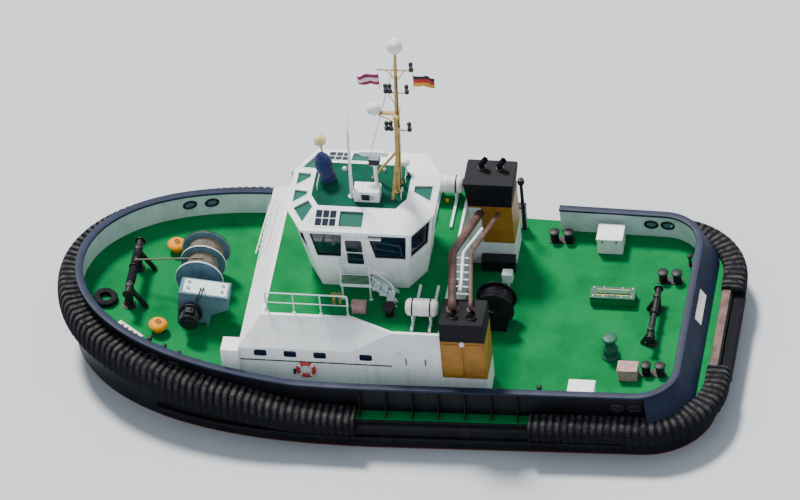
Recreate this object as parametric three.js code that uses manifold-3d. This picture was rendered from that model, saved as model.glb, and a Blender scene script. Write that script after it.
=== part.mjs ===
// A harbour tug with two steerable thrusters, afloat, in millimetres.
// +X is forward, +Y is port, +Z is up. The origin is amidships on the waterline.
import * as THREE from 'three';
import { mergeVertices } from 'three/addons/utils/BufferGeometryUtils.js';
import Module from 'manifold-3d';

const wasm = await Module();
wasm.setup();

// Driving dimensions
const GAP = 0.3;               // between pieces that touch
const RUNNING_GAP = 0.5;       // between bearing faces
const DECK_Z = 1300;           // the hull's top amidships
const DECK_PLATE = 30;
const KNUCKLE_X = 3000;        // the deck rises forward of here
const DECK_SLOPE = 0.115;
const MID_X = 500;             // the hull is widest here
const TAPER_X = -8500;         // the after half-beam is given here
const BULWARK_H = 1000;
const BULWARK_T = 80;
const CAP_RAIL_H = 90;
const GATE_X = [-3900, -5100]; // opening in the starboard bulwark
const HOUSE_X = [-2200, 4960];
const HOUSE_HALF = 4100;
const HOUSE_WALL = 80;
const BOAT_DECK_Z = 4200;      // rim of the deckhouse top
const WELL = { depth: 60, plate: 25, clear: 2 }; // the rim stands this high about the green plate
const BOAT_FLOOR = BOAT_DECK_Z - WELL.depth + WELL.plate;
const CASING_X = [-3770, -2200 - GAP];
const CASING_Y = [2800, 4100];
const FUNNEL_Z = [2350, 4070]; // the painted middle of each casing
const CAP_TOP_Z = 4900;
const FLOOR_Z = 4860;          // wheelhouse floor
const EAVE_Z = 7050;
const ROOF_Z = 7450;
const SHELL = 70;              // wheelhouse wall and roof
const GLASS = 14;
const THRUSTER = { x: -8500, y: 2300, seat: -1560, shaft: -3100 };

const deckTop = (x) => DECK_Z + DECK_PLATE + DECK_SLOPE * Math.max(0, x - KNUCKLE_X);

// Paints and materials, as the photograph shows them
const paint = (color, roughness, metalness = 0.1) =>
  new THREE.MeshStandardMaterial({ color, roughness, metalness });
const PAINT = {
  hull: paint('#0c0f16', 0.45), deck: paint('#27a862', 0.6), inside: paint('#a9c9c2', 0.5),
  navy: paint('#2a3650', 0.45), white: paint('#eef1ef', 0.4), pale: paint('#b9cdd3', 0.45),
  ochre: paint('#a9782a', 0.5), yellow: paint('#d9b24a', 0.5), black: paint('#17181d', 0.6),
  rubber: paint('#3b3c45', 0.85, 0), machine: paint('#5d7480', 0.45), rope: paint('#b8ad94', 0.9, 0),
  orange: paint('#f0a32f', 0.5), rust: paint('#6d4a42', 0.7), glass: paint('#2b6f66', 0.1, 0),
  blue: paint('#25448f', 0.8, 0), cream: paint('#ecd9a2', 0.5), green: paint('#17705c', 0.5),
  pink: paint('#b08f8c', 0.7), bronze: paint('#b08a4a', 0.35, 0.9), red: paint('#c8454a', 0.6, 0),
};

// Solids

/** A closed geometry as a solid that can be joined and cut. */
function solid(geometry) {
  const bare = geometry.clone();
  for (const name of Object.keys(bare.attributes)) if (name !== 'position') bare.deleteAttribute(name);
  const merged = mergeVertices(bare, 0.01);
  const index = merged.index.array;
  const triVerts = [];
  for (let i = 0; i < index.length; i += 3) {
    const [a, b, c] = [index[i], index[i + 1], index[i + 2]];
    if (a !== b && b !== c && c !== a) triVerts.push(a, b, c);
  }
  return new wasm.Manifold(new wasm.Mesh({
    numProp: 3,
    vertProperties: new Float32Array(merged.attributes.position.array),
    triVerts: new Uint32Array(triVerts),
  }));
}

/** The geometry of a solid, without edges shorter than a few hundredths of a millimetre. */
function geometryOf(body) {
  const mesh = body.simplify(0.03).getMesh();
  const geometry = new THREE.BufferGeometry();
  geometry.setAttribute('position', new THREE.BufferAttribute(Float32Array.from(mesh.vertProperties), 3));
  geometry.setIndex(Array.from(mesh.triVerts));
  return geometry;
}

const join = (...bodies) => bodies.flat().reduce((sum, body) => sum.add(body));
const largest = (body) => body.decompose().sort((a, b) => b.volume() - a.volume())[0];
const mirrored = (body) => body.mirror([0, 1, 0]);
const both = (body) => body.add(mirrored(body));
const SIDES = [['port', (body) => body], ['starboard', mirrored]];

/** A box between two corners. */
function block(x, y, z) {
  const geometry = new THREE.BoxGeometry(x[1] - x[0], y[1] - y[0], z[1] - z[0]);
  return solid(geometry.translate((x[0] + x[1]) / 2, (y[0] + y[1]) / 2, (z[0] + z[1]) / 2));
}

/** What is left of a body above a level. */
const above = (body, z = 0) => body.subtract(block([-20000, 20000], [-20000, 20000], [z - 3000, z]));

/** A round bar or cone from one point to another. */
function rod(from, to, radius, sides = 10, endRadius = radius) {
  const [a, b] = [new THREE.Vector3(...from), new THREE.Vector3(...to)];
  const along = b.clone().sub(a);
  const geometry = new THREE.CylinderGeometry(endRadius, radius, along.length(), sides);
  geometry.translate(0, along.length() / 2, 0);
  const turn = new THREE.Quaternion().setFromUnitVectors(new THREE.Vector3(0, 1, 0), along.normalize());
  return solid(geometry.applyQuaternion(turn).translate(a.x, a.y, a.z));
}

/** Bars along a polyline: thick ones have a ball at each corner, thin ones run on past it. */
function pipe(points, radius, sides = 8) {
  const thick = radius > 60;
  const parts = [];
  for (let i = 1; i < points.length; i++) {
    const [a, b] = [new THREE.Vector3(...points[i - 1]), new THREE.Vector3(...points[i])];
    const onward = b.clone().sub(a).setLength(radius * 0.8);
    if (!thick && i < points.length - 1) b.add(onward);
    parts.push(rod(a.toArray(), b.toArray(), radius, sides));
  }
  if (thick) {
    for (const point of points.slice(1, -1)) {
      parts.push(solid(new THREE.SphereGeometry(radius, sides, 6).translate(...point)));
    }
  }
  return join(parts);
}

/** A turned shape on the Z axis from [radius, height] pairs that start and end on the axis. */
function turned(profile, sides = 24) {
  const points = profile.map(([r, z]) => new THREE.Vector2(r, z));
  const geometry = new THREE.LatheGeometry(points, sides);
  return solid(geometry.rotateX(Math.PI / 2));
}

/** A ring turned from a closed [radius, height] profile, on the Z axis. */
function turnedRing(profile, sides = 32) {
  return turned([...profile, profile[0]], sides);
}

/** An aerial's white dome, standing on the XY plane. */
const domeBody = (r) => turned([[0, 0], [r * 0.8, 0], [r, r * 0.45], [r, r * 0.9], [r * 0.7, r * 1.5],
  [0, r * 1.75]], 12);

/** A prism that stands on a plan outline. */
function plan(points, z0, z1) {
  const shape = new THREE.Shape(points.map(([x, y]) => new THREE.Vector2(x, y)));
  const geometry = new THREE.ExtrudeGeometry(shape, { depth: z1 - z0, bevelEnabled: false });
  return solid(geometry.translate(0, 0, z0));
}

/** A prism across the boat from an outline of [x, z] points. */
function across(points, y0, y1) {
  const shape = new THREE.Shape(points.map(([x, z]) => new THREE.Vector2(x, z)));
  const geometry = new THREE.ExtrudeGeometry(shape, { depth: y1 - y0, bevelEnabled: false });
  return solid(geometry.rotateX(Math.PI / 2).translate(0, y1, 0));
}

/** A skin over rings of equal length, closed by a fan at each end. */
function loft(rings) {
  const count = rings[0].length;
  const points = rings.flat();
  const faces = [];
  for (let r = 0; r + 1 < rings.length; r++) {
    for (let i = 0; i < count; i++) {
      const [a, b] = [r * count + i, r * count + (i + 1) % count];
      faces.push(a, b, b + count, a, b + count, a + count);
    }
  }
  for (const [r, flip] of [[0, true], [rings.length - 1, false]]) {
    const ring = rings[r];
    const centre = points.length;
    points.push([0, 1, 2].map((k) => ring.reduce((sum, p) => sum + p[k], 0) / count));
    for (let i = 0; i < count; i++) {
      const [a, b] = [r * count + i, r * count + (i + 1) % count];
      faces.push(...(flip ? [b, a, centre] : [a, b, centre]));
    }
  }
  let volume = 0;
  for (let i = 0; i < faces.length; i += 3) {
    const [a, b, c] = [0, 1, 2].map((k) => new THREE.Vector3(...points[faces[i + k]]));
    volume += a.dot(b.cross(c));
  }
  if (volume < 0) faces.reverse();
  const geometry = new THREE.BufferGeometry();
  geometry.setAttribute('position', new THREE.Float32BufferAttribute(points.flat(), 3));
  geometry.setIndex(faces);
  return solid(geometry);
}

// The hull's levels: plan curves from the stem round to the transom

const HULL_LEVELS = [
  // z, bow, stern, half-beam amidships, half-beam aft, corner radius, bow fullness
  [3200, 11650, -11550, 5350, 5100, 2500, 2.65],
  [200, 11600, -11550, 5350, 5100, 2500, 2.6],
  [-500, 11200, -11400, 5320, 4980, 2300, 2.45],
  [-1000, 10800, -11200, 5200, 4850, 2200, 2.35],
  [-1700, 10200, -6400, 5000, 4500, 1800, 2.2],
  [-2500, 9300, -4600, 4400, 4000, 1500, 2.1],
  [-3200, 7800, -3000, 3300, 3000, 1200, 2.0],
  [-3450, 6500, -2000, 2300, 2100, 900, 2.0],
].map(([z, bow, stern, beam, aft, corner, full]) => ({ z, bow, stern, beam, aft, corner, full }));
const EDGE = HULL_LEVELS[0];
const BULWARK = { bow: 11300, stern: -10350, beam: 4880, aft: 4680, corner: 1500, full: 2.95 };

/** The port half of a level, from the stem to the transom's middle. */
function halfPlan(level, grow = 0, bowSteps = 10, cornerSteps = 5) {
  const bow = level.bow + grow;
  const stern = level.stern - grow;
  const corner = level.corner + grow;
  const taper = (level.beam - level.aft) / (MID_X - TAPER_X);
  const side = (x) => level.beam + grow - taper * (MID_X - x);
  const points = [];
  for (let i = 0; i < bowSteps; i++) {
    const turn = (Math.PI / 2) * (1 - i / bowSteps);
    const reach = Math.sin(turn) ** (2 / level.full);
    points.push([MID_X + (bow - MID_X) * reach, (level.beam + grow) * Math.cos(turn)]);
  }
  const cornerX = stern + corner;
  for (const part of [0, 1 / 3, 2 / 3]) {
    const x = MID_X + (cornerX - MID_X) * part;
    points.push([x, side(x)]);
  }
  for (let i = 0; i <= cornerSteps; i++) {
    const turn = (Math.PI / 2) * (i / cornerSteps);
    points.push([cornerX - corner * Math.sin(turn), side(cornerX) - corner * (1 - Math.cos(turn))]);
  }
  points.push([stern, 0]);
  return points;
}

const starboard = (points) => points.map(([x, y]) => [x, -y]);

/** The whole closed outline of a level. */
function wholePlan(level, grow = 0) {
  const port = halfPlan(level, grow);
  return [...port, ...starboard(port.slice(1, -1)).reverse()];
}

/** The stretch of a half outline between two places along X, with exact ends. */
function stretch(half, fromX, toX) {
  const points = [];
  for (let i = 0; i < half.length; i++) {
    const [x, y] = half[i];
    if (i > 0) {
      const [px, py] = half[i - 1];
      for (const end of [fromX, toX]) {
        if (px > end && end > x) points.push([end, py + (y - py) * (px - end) / (px - x)]);
      }
    }
    if (x <= fromX && x >= toX) points.push([x, y]);
  }
  return points;
}

/** A section of [outboard, up] points carried along a path that has outboard on its left. */
function sweep(path, section, base = deckTop) {
  const rings = path.map((point, i) => {
    const [before, after] = [path[Math.max(0, i - 1)], path[Math.min(path.length - 1, i + 1)]];
    const unit = (a, b) => new THREE.Vector2(b[0] - a[0], b[1] - a[1]).normalize();
    const first = i > 0 ? unit(before, point) : unit(point, after);
    const second = i < path.length - 1 ? unit(point, after) : first;
    const along = first.clone().add(second).normalize();
    const mitre = 1 / Math.max(0.5, along.dot(first));
    return section.map(([out, up]) => {
      const x = point[0] - along.y * out * mitre;
      const y = point[1] + along.x * out * mitre;
      return [x, y, base(x) + up];
    });
  });
  return loft(rings);
}

/** Short stretches of a path, evenly spaced along each of its straight runs. */
function beads(path, pitch, width) {
  return path.slice(1).flatMap(([bx, by], i) => {
    const [ax, ay] = path[i];
    const length = Math.hypot(bx - ax, by - ay);
    const at = (run) => [ax + (bx - ax) * run / length, ay + (by - ay) * run / length];
    const count = Math.round(length / pitch);
    return Array.from({ length: count }, (_, k) => (k + 0.5) * length / count)
      .map((run) => [at(run - width / 2), at(run + width / 2)]);
  });
}

/** A path whose ends go on a little further. */
function lengthened(path, by = 50) {
  const beyond = ([x0, y0], [x1, y1]) => {
    const part = 1 + by / Math.hypot(x1 - x0, y1 - y0);
    return [x0 + (x1 - x0) * part, y0 + (y1 - y0) * part];
  };
  return [beyond(path[1], path[0]), ...path.slice(1, -1), beyond(path.at(-2), path.at(-1))];
}

/** A slab under or over the deck's surface, from a height to the deck plus a rise. */
function deckSlab(fromZ, rise) {
  const far = 14000;
  return loft([-far, KNUCKLE_X, far].map((x) => [
    [x, -far, fromZ], [x, far, fromZ], [x, far, deckTop(x) + rise], [x, -far, deckTop(x) + rise],
  ]));
}

const hullBody = (grow) => loft(HULL_LEVELS.map((level) =>
  wholePlan(level, grow).map(([x, y]) => [x, y, level.z])));
const underHullTop = deckSlab(-6000, -DECK_PLATE - GAP);
const underDeck = deckSlab(-6000, GAP);
const onDeck = (body) => body.subtract(underDeck);
const deckedHull = hullBody(GAP).intersect(underDeck);

// The scene graph

const tug = new THREE.Group();
tug.name = 'tug';

/** Adds a named piece to a group. */
function piece(name, material, body, parent = tug) {
  const mesh = new THREE.Mesh(geometryOf(body), PAINT[material]);
  mesh.name = name;
  parent.add(mesh);
  return mesh;
}

/** Adds a group at a place, with a turn about Y. */
function place(x, y, z, turnY = 0, parent = tug) {
  const group = new THREE.Group();
  group.position.set(x, y, z);
  group.rotation.y = turnY;
  parent.add(group);
  return group;
}

// Hull and deck

const FENDER = { end: 800, aftStart: -5300, sternHalf: 2000 };
const RIB = { pitch: 720, width: 360, proud: 30 }; // across the rubber
const STRAKES = [
  // height above the water, from X, to X
  [1080, FENDER.end - 60, FENDER.aftStart + 60],
  [490, 8000, -8500],
];

const BOLLARDS = [
  // X and Y of each pair's middle, on the port side
  [-9300, 2350], [-5200, 4150],
];

function addHull() {
  const seats = both(rod([THRUSTER.x, THRUSTER.y, -900], [THRUSTER.x, THRUSTER.y, THRUSTER.seat], 600, 24));
  const skeg = across([[-1500, -3450], [-7000, -3600], [-7300, -3400], [-7300, -1200], [-1500, -1200]],
    -200, 200);
  const strakes = STRAKES.map(([z, fromX, toX]) => sweep(stretch(halfPlan(EDGE), fromX, toX).reverse(),
    [[-60, -110], [120, -70], [120, 70], [-60, 110]], () => z));
  piece('hull', 'hull', join(hullBody(0).intersect(underHullTop), seats, skeg, both(join(strakes))));
  const plate = deckSlab(0, 0).subtract(deckSlab(-100, -DECK_PLATE));
  const [bow, stern, beam, aft] = [EDGE.bow - 40, EDGE.stern + 40, EDGE.beam - 40, EDGE.aft - 40];
  const outline = wholePlan({ ...EDGE, bow, stern, beam, aft });
  const post = turned([[0, 0], [150, 0], [150, 400], [190, 410], [190, 470], [0, 470]], 8);
  const bollards = BOLLARDS.map(([x, y]) => join(
    block([x - 450, x + 450], [y - 180, y + 180], [0, 60]).translate([0, 0, DECK_Z]),
    [-250, 250].map((shift) => post.translate([x + shift, y, DECK_Z]))));
  const cover = plate.intersect(plan(outline, 0, 4000));
  const abaft = block([-14000, KNUCKLE_X], [-7000, 7000], [0, 4000]);
  const afore = block([KNUCKLE_X + GAP, 14000], [-7000, 7000], [0, 4000]);
  piece('main_deck', 'deck', join(cover.intersect(abaft), both(join(bollards))));
  piece('fore_deck', 'deck', cover.intersect(afore));
}

// Bulwark, cap rail and fenders

function addEdge() {
  const half = halfPlan(BULWARK);
  const transom = BULWARK.stern;
  const rail = [
    ...starboard(stretch(half, GATE_X[1], transom)),
    ...half.slice(0, -1).reverse(),
    ...starboard(stretch(half, BULWARK.bow + 1, GATE_X[0]).slice(1)),
  ];
  const wall = sweep(rail, [[-BULWARK_T, -60], [0, -60], [0, BULWARK_H], [-BULWARK_T, BULWARK_H]]);
  const skirt = [[-40, -60], [560, -60], [560, 60], [0, BULWARK_H - 60], [-40, BULWARK_H - 60]];
  const quarter = stretch(half, -9300, transom);
  const sternPath = [...starboard(quarter), ...quarter.slice(0, -1).reverse()];
  piece('bulwark', 'inside', onDeck(wall.add(sweep(sternPath, skirt))));
  const [low, high] = [BULWARK_H + GAP, BULWARK_H + CAP_RAIL_H];
  const cap = [[-200, low], [-BULWARK_T, low], [0, low], [80, low], [80, high], [-200, high]];
  piece('cap_rail', 'navy', sweep(rail, cap));

  const outside = plan(wholePlan(BULWARK, GAP), DECK_Z, 5000);
  const sternSkirt = sweep(lengthened(sternPath), skirt.map(([out, up]) => [out + 2, up + 1]));
  const seat = (body) => body.subtract(deckedHull).subtract(outside).subtract(sternSkirt);
  const edge = halfPlan(EDGE);
  const bowPath = [
    ...stretch(edge, EDGE.bow + 1, FENDER.end).reverse(),
    ...starboard(stretch(edge, EDGE.bow + 1, FENDER.end).slice(1)),
  ];
  const bowSection = [[-480, -100], [-480, 180], [-400, 260], [260, 260], [420, 130], [480, -80],
    [440, -420], [300, -560], [-100, -560]];
  const rubber = (path, section) => {
    const core = section.map(([out, up]) => [out - RIB.proud, up > 0 ? up - RIB.proud : up + RIB.proud]);
    return join(sweep(path, core), beads(path, RIB.pitch, RIB.width).map((run) => sweep(run, section)));
  };
  piece('bow_fender', 'rubber', largest(seat(rubber(bowPath, bowSection))));

  const aft = stretch(edge, FENDER.aftStart, EDGE.stern);
  const corner = [...aft.slice(0, -1), [EDGE.stern, FENDER.sternHalf]].reverse();
  const aftSection = [[-420, -100], [-420, 150], [-340, 230], [250, 230], [400, 110], [450, -80],
    [420, -420], [280, -540], [-100, -540]];
  const reach = FENDER.sternHalf + 40;
  const bar = block([EDGE.stern - 440, EDGE.stern - GAP], [-reach, reach], [800, 1180]);
  piece('stern_fender', 'rubber', both(seat(rubber(corner, aftSection))).add(bar.subtract(deckedHull)));
}

// Deckhouse, boat deck and casings

const HOUSE_SECTIONS = [
  // X, wall height, half-width of the top, height of the top
  [HOUSE_X[1], 3300, 4040, 3330],
  [4200, 3350, 3300, BOAT_DECK_Z],
  [1000, 3350, 3300, BOAT_DECK_Z],
  [-500, 3850, 3950, BOAT_DECK_Z],
  [HOUSE_X[0], 3850, 3950, BOAT_DECK_Z],
];

function houseBody(inset, foot) {
  const rings = HOUSE_SECTIONS.map(([x, wall, half, top], i) => {
    const shift = i === 0 ? -inset : i === HOUSE_SECTIONS.length - 1 ? inset : 0;
    const [y, w, h, t] = [HOUSE_HALF - inset, wall - inset / 2, half - inset / 2, top - inset];
    return [[-y, foot], [y, foot], [y, w], [h, t], [-h, t], [-y, w]].map(([py, pz]) => [x + shift, py, pz]);
  });
  return loft(rings);
}

const DOORWAY = { y: [-1300, -550], z: [1480, 3330] };

/** The outline of the boat deck inside its rim. */
function wellPlan(inset) {
  const [narrow, wide] = [3180 - inset, 3830 - inset];
  const port = [[4080 - inset, narrow], [1000, narrow], [-480, wide], [-2110 + inset, wide]];
  return [...port, ...starboard(port).reverse()];
}

function addHouse() {
  const well = plan(wellPlan(0), BOAT_DECK_Z - WELL.depth, BOAT_DECK_Z + 100);
  const inner = houseBody(HOUSE_WALL + WELL.depth, 1000);
  const doorway = block([HOUSE_X[0] - 50, HOUSE_X[0] + 300], DOORWAY.y, DOORWAY.z);
  const casings = both(block([CASING_X[0], HOUSE_X[0] + 60], CASING_Y, [1200, FUNNEL_Z[0]]));
  const locker = block([HOUSE_X[1] - 20, 5560], [3560, 4240], [1200, 3280]);
  const shell = houseBody(0, 1200).subtract(inner).subtract(doorway).subtract(well);
  piece('deckhouse', 'white', onDeck(join(shell, casings, locker)));
  piece('boat_deck', 'deck', plan(wellPlan(WELL.clear), BOAT_DECK_Z - WELL.depth + GAP, BOAT_FLOOR));
  const leaf = block([HOUSE_X[0] - 45, HOUSE_X[0] - RUNNING_GAP], [DOORWAY.y[0] - 40, DOORWAY.y[1] + 40],
    [DOORWAY.z[0] - 40, DOORWAY.z[1] + 40]);
  piece('deckhouse_door', 'white', leaf);
}

const LOUVRES = { x: [[-2930, -2280], [-3690, -3040]], z: [2500, 3920], pitch: 142, proud: 32 };

/** The louvred frames on a casing's outer wall. */
function louvres() {
  const { z: [low, high], pitch, proud } = LOUVRES;
  const wall = CASING_Y[1];
  return LOUVRES.x.map(([x0, x1]) => {
    const frame = block([x0 - 35, x1 + 35], [wall - 5, wall + proud], [low - 45, high + 45])
      .subtract(block([x0, x1], [wall - 10, wall + 100], [low, high]));
    const slat = [[-5, 10], [26, 16], [8, 138], [-5, 138]]; // out from the wall, up
    const slats = [...Array(10).keys()].map((i) => loft([x0 - 5, x1 + 5].map((x) =>
      slat.map(([out, up]) => [x, wall + out, low + i * pitch + up]))));
    return join(frame, slats);
  });
}

function addFunnels() {
  const side = join(block(CASING_X, CASING_Y, [FUNNEL_Z[0] + GAP, FUNNEL_Z[1]]), louvres());
  const pipes = [[-2650, 3680], [-3300, 3680]];
  for (const [name, turned] of SIDES) {
    const [flare, top, height] = name === 'port' ? [0, CAP_TOP_Z, 220] : [110, CAP_TOP_Z + 200, 420];
    const ring = (z, grow) => [
      [CASING_X[0] - grow, CASING_Y[0], z], [CASING_X[1] + grow, CASING_Y[0], z],
      [CASING_X[1] + grow, CASING_Y[1], z], [CASING_X[0] - grow, CASING_Y[1], z]];
    const stacks = pipes.map(([x, y]) => join(rod([x, y, top - 50], [x, y, top + height * 0.6], 110),
      rod([x, y, top + height * 0.5], [x - height * 0.4, y, top + height], 105)));
    piece(`${name}_funnel`, 'ochre', turned(side));
    const cap = loft([ring(FUNNEL_Z[1] + GAP, 0), ring(BOAT_DECK_Z + 50, 0), ring(top, flare)]);
    piece(`${name}_funnel_cap`, 'black', turned(join(cap, stacks)));
  }
}

// The guard of bent pipes between the casings

function addTowArch() {
  const z = 5100;
  const runs = [
    // radius, then the bend's places from the port casing to the starboard one
    [150, [-2600, 3300, CAP_TOP_Z + GAP], [-2600, 3300, z], [-2240, 650, z], [-2650, -3000, 3680]],
    [75, [-3240, 3300, CAP_TOP_Z + GAP], [-3240, 3300, z], [-2880, 690, z], [-3300, -3000, 3680]],
  ].map(([radius, ...points]) => pipe(points, radius, 10));
  const ties = [2750, 2390, 2030, 1670, 1310, 950].map((y) => {
    const lean = 360 * (3300 - y) / 2650;
    return rod([-2600 + lean, y, z], [-3240 + lean, y, z], 45, 6);
  });
  const casing = block([CASING_X[0] - 400, CASING_X[1] + 400], [-5000, -CASING_Y[0] + GAP], [1000, 6000]);
  piece('tow_arch', 'rust', join(runs, ties).subtract(casing));
}

// Wheelhouse

const HOUSE_FOOT = { z: BOAT_FLOOR + GAP, aft: -1300, fore: 2800, half: 1600, cut: 900 };
const HOUSE_HEAD = { z: EAVE_Z, aft: -1700, fore: 3350, half: 2000, cut: 1100 };
const EAVE_LOW = { z: EAVE_Z + GAP, aft: -1780, fore: 3430, half: 2100, cut: 1120 };
const EAVE_HIGH = { ...EAVE_LOW, z: EAVE_Z + 90 };
const CROWN = { z: ROOF_Z, aft: -800, fore: 2600, half: 1120, cut: 520 };
const CUT_X = 0.6;             // a corner is cut this much less along X

/** An eight-sided ring, from the after port corner forward along the port side and round. */
function octagon({ z, aft, fore, half, cut }, inset = 0, height = z) {
  const [a, f, h, c] = [aft + inset, fore - inset, half - inset, cut - inset * 0.45];
  return [
    [a, h - c], [a + c * CUT_X, h], [f - c * CUT_X, h], [f, h - c],
    [f, c - h], [f - c * CUT_X, -h], [a + c * CUT_X, -h], [a, c - h],
  ].map(([x, y]) => [x, y, height]);
}

/** The four corners of an opening on side i between two rings, margins measured from the side's ends. */
function opening(low, high, i, left, right, z0, z1) {
  const [ringLow, ringHigh] = [octagon(low), octagon(high)];
  const at = (k, z) => new THREE.Vector3(...ringLow[k % 8]).lerp(
    new THREE.Vector3(...ringHigh[k % 8]), (z - low.z) / (high.z - low.z));
  const corner = (z, margin, from, to) => {
    const start = at(from, z);
    return start.clone().add(at(to, z).sub(start).setLength(margin));
  };
  return [corner(z0, left, i, i + 1), corner(z0, right, i + 1, i), corner(z1, right, i + 1, i),
    corner(z1, left, i, i + 1)];
}

/** A flat slab on four corners, from one depth to another along the outward normal. */
function slab(corners, inner, outer) {
  const middle = corners.reduce((sum, p) => sum.add(p), new THREE.Vector3()).divideScalar(4);
  const edge = corners[1].clone().sub(corners[0]);
  const normal = corners[3].clone().sub(corners[0]).cross(edge).normalize();
  if (normal.dot(new THREE.Vector3(middle.x - 800, middle.y, 0)) < 0) normal.negate();
  const ring = (depth) => corners.map((p) => p.clone().addScaledVector(normal, depth).toArray());
  return loft([ring(inner), ring(outer)]);
}

const WINDOWS = [
  // side, margin at its start, margin at its end, sill, head
  [0, 110, 110, 5720, 6930],
  [1, 110, 2230, 5720, 6930],
  [1, 2380, 190, 5720, 6930],
  [2, 110, 110, 5720, 6930],
  [3, 130, 1010, 5720, 6930],
  [3, 1010, 130, 5720, 6930],
  [4, 110, 110, 5720, 6930],
  [5, 190, 2380, 5720, 6930],
  [5, 2230, 110, 5720, 6930],
  [6, 110, 110, 5720, 6930],
  [7, 130, 1010, 5720, 6930],
  [7, 1010, 130, 5720, 6930],
];
const SKYLIGHTS = [
  [2, 160, 160, 7210, 7400],
  [3, 120, 1010, 7210, 7400],
  [3, 1010, 120, 7210, 7400],
  [4, 160, 160, 7210, 7400],
  [7, 500, 500, 7210, 7400],
];
const SIDE_LIGHTS = { x: [[1560, 2290], [620, 1460]], z: [7210, 7400] };
const SLIDER = { x: [620, 1300], z: [4950, 6760], lap: 35, clear: 6, thick: 40, travel: 620 };

/** Four corners on the port side between two rings, between two places along X and two heights. */
function onSide(low, high, [x0, x1], [z0, z1]) {
  const y = (z) => low.half + (high.half - low.half) * (z - low.z) / (high.z - low.z);
  return [[x0, z0], [x1, z0], [x1, z1], [x0, z1]].map(([x, z]) => new THREE.Vector3(x, y(z), z));
}

function addWheelhouse() {
  const walls = loft([octagon(HOUSE_FOOT), octagon(HOUSE_HEAD)]);
  const room = loft([octagon(HOUSE_FOOT, SHELL), octagon(HOUSE_HEAD, SHELL)]).add(
    loft([octagon(HOUSE_HEAD, SHELL, EAVE_Z - 1), octagon(HOUSE_HEAD, SHELL, EAVE_Z + 50)]));
  const hollow = room.intersect(block([-5000, 5000], [-5000, 5000], [FLOOR_Z, 8000]));
  const holes = WINDOWS.map((row) => opening(HOUSE_FOOT, HOUSE_HEAD, ...row));
  const { x, z, lap, clear, thick, travel } = SLIDER;
  const onWall = (from, to) => onSide(HOUSE_FOOT, HOUSE_HEAD, from, to);
  const doorway = both(slab(onWall([x[0] + lap, x[1] - lap], [z[0] + lap, z[1] - lap]), -300, 150));
  const tracks = [[z[0] - 60, z[0] - RUNNING_GAP], [z[1] + RUNNING_GAP, z[1] + 60]].map((height) =>
    both(slab(onWall([x[0] - travel - 30, x[1] + 30], height), -20, clear + thick + 20)));
  const cuts = join(holes.map((corners) => slab(corners, -150, 150)), doorway);
  piece('wheelhouse', 'white', join(walls.subtract(hollow).subtract(cuts), tracks));
  const band = (inset) => loft([octagon(HOUSE_FOOT, inset), octagon(HOUSE_HEAD, inset)]);
  const glass = band(SHELL + GAP).subtract(band(SHELL + GAP + GLASS)).intersect(
    block([-5000, 5000], [-5000, 5000], [5800, 6930])).subtract(doorway);
  piece('wheelhouse_glass', 'glass', glass);
  const leaf = slab(onWall(x, z), clear, clear + thick);
  for (const [name, turned] of SIDES) piece(`${name}_door`, 'white', turned(leaf));

  const outer = loft([octagon(EAVE_LOW), octagon(EAVE_HIGH), octagon(CROWN)]);
  const inner = loft([octagon(EAVE_LOW, 170, EAVE_Z - 10), octagon(EAVE_HIGH, 170),
    octagon(CROWN, 30, ROOF_Z - SHELL)]);
  const sideLights = SIDE_LIGHTS.x.map((along) => onSide(EAVE_HIGH, CROWN, along, SIDE_LIGHTS.z));
  const endLights = SKYLIGHTS.map((row) => opening(EAVE_HIGH, CROWN, ...row));
  const pane = (corners) => slab(corners, -120, 150);
  const panes = join(endLights.map(pane), both(join(sideLights.map(pane))));
  const dome = domeBody(150).translate([-560, -820, ROOF_Z + 300]).add(
    rod([-560, -820, ROOF_Z - 30], [-560, -820, ROOF_Z + 340], 35, 8));
  piece('wheelhouse_roof', 'white', join(outer.subtract(inner).subtract(panes), dome));
  const liner = loft([octagon(EAVE_HIGH, 171), octagon(CROWN, 31, ROOF_Z - SHELL)]).translate([0, 0, -GAP]);
  const middle = loft([octagon(CROWN, 150, EAVE_Z), octagon(CROWN, 150, ROOF_Z)]);
  piece('skylight_glass', 'glass', liner.subtract(liner.translate([0, 0, -GLASS])).subtract(middle));
}

function addPlatforms() {
  const top = 4850;
  const foot = BOAT_FLOOR + GAP;
  const plate = block([400, 1500], [1720, 2330], [top - 50, top]);
  const legs = [[460, 2270], [1440, 2270]].map(([x, y]) => rod([x, y, foot], [x, y, top - 20], 35, 6));
  const rail = pipe([[1460, 1790, top - 20], [1460, 1910, top + 950], [1460, 2290, top + 950],
    [440, 2290, top + 950], [-420, 2560, top + 300], [-420, 2560, foot]], 25, 6);
  const post = rod([440, 2290, top - 20], [440, 2290, top + 950], 25, 6);
  const corner = rod([1460, 2290, top - 20], [1460, 2290, top + 950], 25, 6);
  const treads = [0, 1, 2].map((i) => {
    const [x, z] = [400 - 250 * (i + 1), top - 165 * (i + 1)];
    return block([x - 20, x + 230], [1800 + 70 * i, 2330 + 70 * i], [z - 30, z]);
  });
  const stringer = (y) => across([[420, top - 50], [420, top - 5], [-420, foot + 160], [-480, foot],
    [-380, foot]], y, y + 30);
  const body = above(join(plate, legs, rail, post, corner, treads, stringer(1860), stringer(2300)), foot);
  for (const [name, turned] of SIDES) piece(`${name}_platform`, 'pale', turned(body));
}

// Rails, rafts and lifebuoys

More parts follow.
